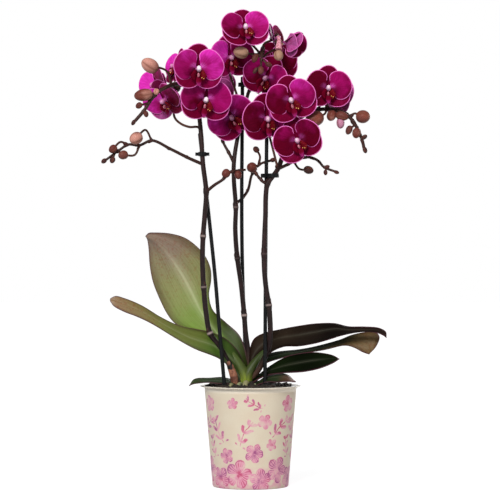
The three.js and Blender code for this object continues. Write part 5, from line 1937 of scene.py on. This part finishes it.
def clip_piece(side, material):
    """The clip's own solid, with its edges softened."""
    node = bpy.data.objects[f"clip_{side}"]
    mesh = node.data.copy()
    cage = bmesh.new()
    cage.from_mesh(mesh)
    bmesh.ops.remove_doubles(cage, verts=cage.verts, dist=1e-5)
    bmesh.ops.dissolve_limit(cage, angle_limit=0.02, verts=cage.verts, edges=cage.edges)
    bmesh.ops.recalc_face_normals(cage, faces=cage.faces)
    cage.to_mesh(mesh)
    cage.free()
    mesh.materials.clear()
    mesh.materials.append(material)
    piece = bpy.data.objects.new(f"clip_{side}_soft", mesh)
    bpy.context.scene.collection.objects.link(piece)
    bevel = piece.modifiers.new("soft edges", "BEVEL")
    bevel.width = 0.35 * MM
    bevel.segments = 2
    bevel.limit_method = "ANGLE"
    return settle(piece, [f"clip_{side}"])


# Stage

FLOOR_REACH = 8.0
FLOOR_HEIGHT = -0.0002
LENS = 165.6
# Name, watts, size, place, target and tint, in metres.
AREA_LIGHTS = (
    ("soft box", 6.0, 0.6, (-1.1, -1.3, 1.0), (0, 0, 0.25), (1.0, 1.0, 1.0)),
    ("fill", 2.6, 0.5, (0.9, -0.6, 0.12), (0, 0, 0.06), (1.0, 0.93, 0.85)),
    ("rear box", 9.0, 0.8, (0.7, 1.5, 0.7), (0, 0, 0.3), (1.0, 1.0, 1.0)),
)


def floor_finish():
    def paint(pen):
        cloud = pen.noise(1.5, 2.0)
        return {"Base_Color": pen.mix(cloud, TINTS["floor dark"], TINTS["floor light"])}

    return finish(
        "floor pale",
        paint,
        Roughness=0.9,
        Specular_IOR_Level=0.1,
        Emission_Color=(1.0, 1.0, 1.0, 1.0),
        Emission_Strength=0.85,
    )


def area_light(name, power, size, spot, target, tint):
    lamp = bpy.data.lights.new(name, "AREA")
    lamp.shape = "DISK"
    lamp.size = size
    lamp.energy = power
    lamp.color = tint
    light = bpy.data.objects.new(name, lamp)
    bpy.context.scene.collection.objects.link(light)
    light.location = spot
    light.rotation_euler = (Vector(target) - Vector(spot)).to_track_quat("-Z", "Y").to_euler()


def make_stage():
    scene = bpy.context.scene
    mesh = bpy.data.meshes.new("floor")
    signs = ((-1, -1), (1, -1), (1, 1), (-1, 1))
    corners = [(x * FLOOR_REACH, y * FLOOR_REACH, FLOOR_HEIGHT) for x, y in signs]
    mesh.from_pydata(corners, [], [[0, 1, 2, 3]])
    mesh.materials.append(floor_finish())
    floor = bpy.data.objects.new("floor", mesh)
    scene.collection.objects.link(floor)
    floor.visible_diffuse = False
    world = bpy.data.worlds.new("studio")
    world.use_nodes = True
    tree = world.node_tree
    tree.nodes.clear()
    pen = Pen(tree)
    way = pen.put("ShaderNodeTexCoord").outputs["Generated"]
    glow = pen.span(abs(pen.parts(way)[2]), 0.18, 0.115, 0.22, 1.0)
    ground = pen.put("ShaderNodeBackground", {0: (1.0, 1.0, 1.0, 1.0), 1: glow})
    pen.put("ShaderNodeOutputWorld", {0: ground.outputs[0]})
    scene.world = world
    scene.view_settings.view_transform = "Standard"
    sun = bpy.data.lights.new("key", "SUN")
    sun.energy = 2.5
    sun.angle = math.radians(18)
    sun.color = (1.0, 0.99, 0.97)
    key = bpy.data.objects.new("key", sun)
    scene.collection.objects.link(key)
    key.rotation_euler = Vector((0.22, 0.79, -0.57)).to_track_quat("-Z", "Y").to_euler()
    for lamp in AREA_LIGHTS:
        area_light(*lamp)
    lens = bpy.data.cameras.new("camera")
    lens.sensor_width = 36.0
    lens.lens = LENS
    camera = bpy.data.objects.new("camera", lens)
    scene.collection.objects.link(camera)
    camera.location = (-0.0005, -EYE_DISTANCE * MM, EYE_HEIGHT * MM)
    camera.rotation_euler = (math.radians(90), 0, 0)
    scene.camera = camera


# Operators


class OrchidOperator:
    """Shared settings of the build operators."""

    bl_options = {"REGISTER", "UNDO"}

    def execute(self, context):
        self.build()
        return {"FINISHED"}


class ORCHID_OT_blooms(OrchidOperator, bpy.types.Operator):
    """Build the petals and sepals of every bloom"""

    bl_idname = "orchid.build_blooms"
    bl_label = "Build blooms"

    def build(self):
        material = petal_finish()
        for seed, (name, spot) in enumerate(BLOOMS.items()):
            bloom_piece(name, spot, 100 + seed, material)
        bloom_piece("opening", OPENING, 99, material, OPENING_FOLD)


class ORCHID_OT_lips(OrchidOperator, bpy.types.Operator):
    """Build the lip and column of every open bloom"""

    bl_idname = "orchid.build_lips"
    bl_label = "Build lips"

    def build(self):
        materials = lip_finishes()
        for seed, (name, spot) in enumerate(BLOOMS.items()):
            lip_piece(name, spot, 200 + seed, materials)


class ORCHID_OT_spikes(OrchidOperator, bpy.types.Operator):
    """Build the flower stems with their twigs, stalks, buds and bracts"""

    bl_idname = "orchid.build_spikes"
    bl_label = "Build flower spikes"

    def build(self):
        stem, bud = stem_finish(), bud_finish()
        bud_form, bract_form = bud_shape(), bract_shape()
        for side in SPIKES:
            spike_piece(side, stem)
            bud_piece(side, bud_form, bud)
            bract_piece(side, bract_form, stem)


class ORCHID_OT_leaves(OrchidOperator, bpy.types.Operator):
    """Build the strap leaves"""

    bl_idname = "orchid.build_leaves"
    bl_label = "Build leaves"

    def build(self):
        for name in LEAVES:
            leaf_piece(name)


class ORCHID_OT_crown(OrchidOperator, bpy.types.Operator):
    """Build the crown's sheaths and the roots"""

    bl_idname = "orchid.build_crown"
    bl_label = "Build crown and roots"

    def build(self):
        material = crown_finish()
        crown_piece(material)
        root_piece(material)


class ORCHID_OT_pots(OrchidOperator, bpy.types.Operator):
    """Build the outer pot, the culture pot and the bark"""

    bl_idname = "orchid.build_pots"
    bl_label = "Build pots and bark"

    def build(self):
        pot_piece()
        culture_piece()
        bark_piece()


class ORCHID_OT_stakes(OrchidOperator, bpy.types.Operator):
    """Build the stakes and their clips"""

    bl_idname = "orchid.build_stakes"
    bl_label = "Build stakes and clips"

    def build(self):
        material = stake_finish()
        for side in STAKES:
            stake_piece(side, material)
            clip_piece(side, material)


class ORCHID_OT_stage(OrchidOperator, bpy.types.Operator):
    """Build the pale floor, the studio light and the camera"""

    bl_idname = "orchid.build_stage"
    bl_label = "Build stage"

    def build(self):
        make_stage()


OPERATORS = (
    ORCHID_OT_stage,
    ORCHID_OT_pots,
    ORCHID_OT_crown,
    ORCHID_OT_leaves,
    ORCHID_OT_stakes,
    ORCHID_OT_spikes,
    ORCHID_OT_blooms,
    ORCHID_OT_lips,
)


class ORCHID_PT_sidebar(bpy.types.Panel):
    """Lists the orchid's build steps in the sidebar"""

    bl_label = "Potted moth orchid"
    bl_idname = "ORCHID_PT_sidebar"
    bl_space_type = "VIEW_3D"
    bl_region_type = "UI"
    bl_category = "Orchid"

    def draw(self, context):
        for operator in OPERATORS:
            self.layout.operator(operator.bl_idname)


CLASSES = (
    OrchidBloomSettings,
    OrchidLipSettings,
    OrchidSpikeSettings,
    OrchidLeafSettings,
    OrchidPotSettings,
    OrchidSettings,
    *OPERATORS,
    ORCHID_PT_sidebar,
)


def register():
    for item in CLASSES:
        bpy.utils.register_class(item)
    bpy.types.Scene.potted_orchid = PointerProperty(type=OrchidSettings)


def unregister():
    del bpy.types.Scene.potted_orchid
    for item in reversed(CLASSES):
        bpy.utils.unregister_class(item)


def main():
    register()
    for operator in OPERATORS:
        getattr(bpy.ops.orchid, operator.bl_idname.split(".")[1])()


if __name__ == "__main__":
    main()
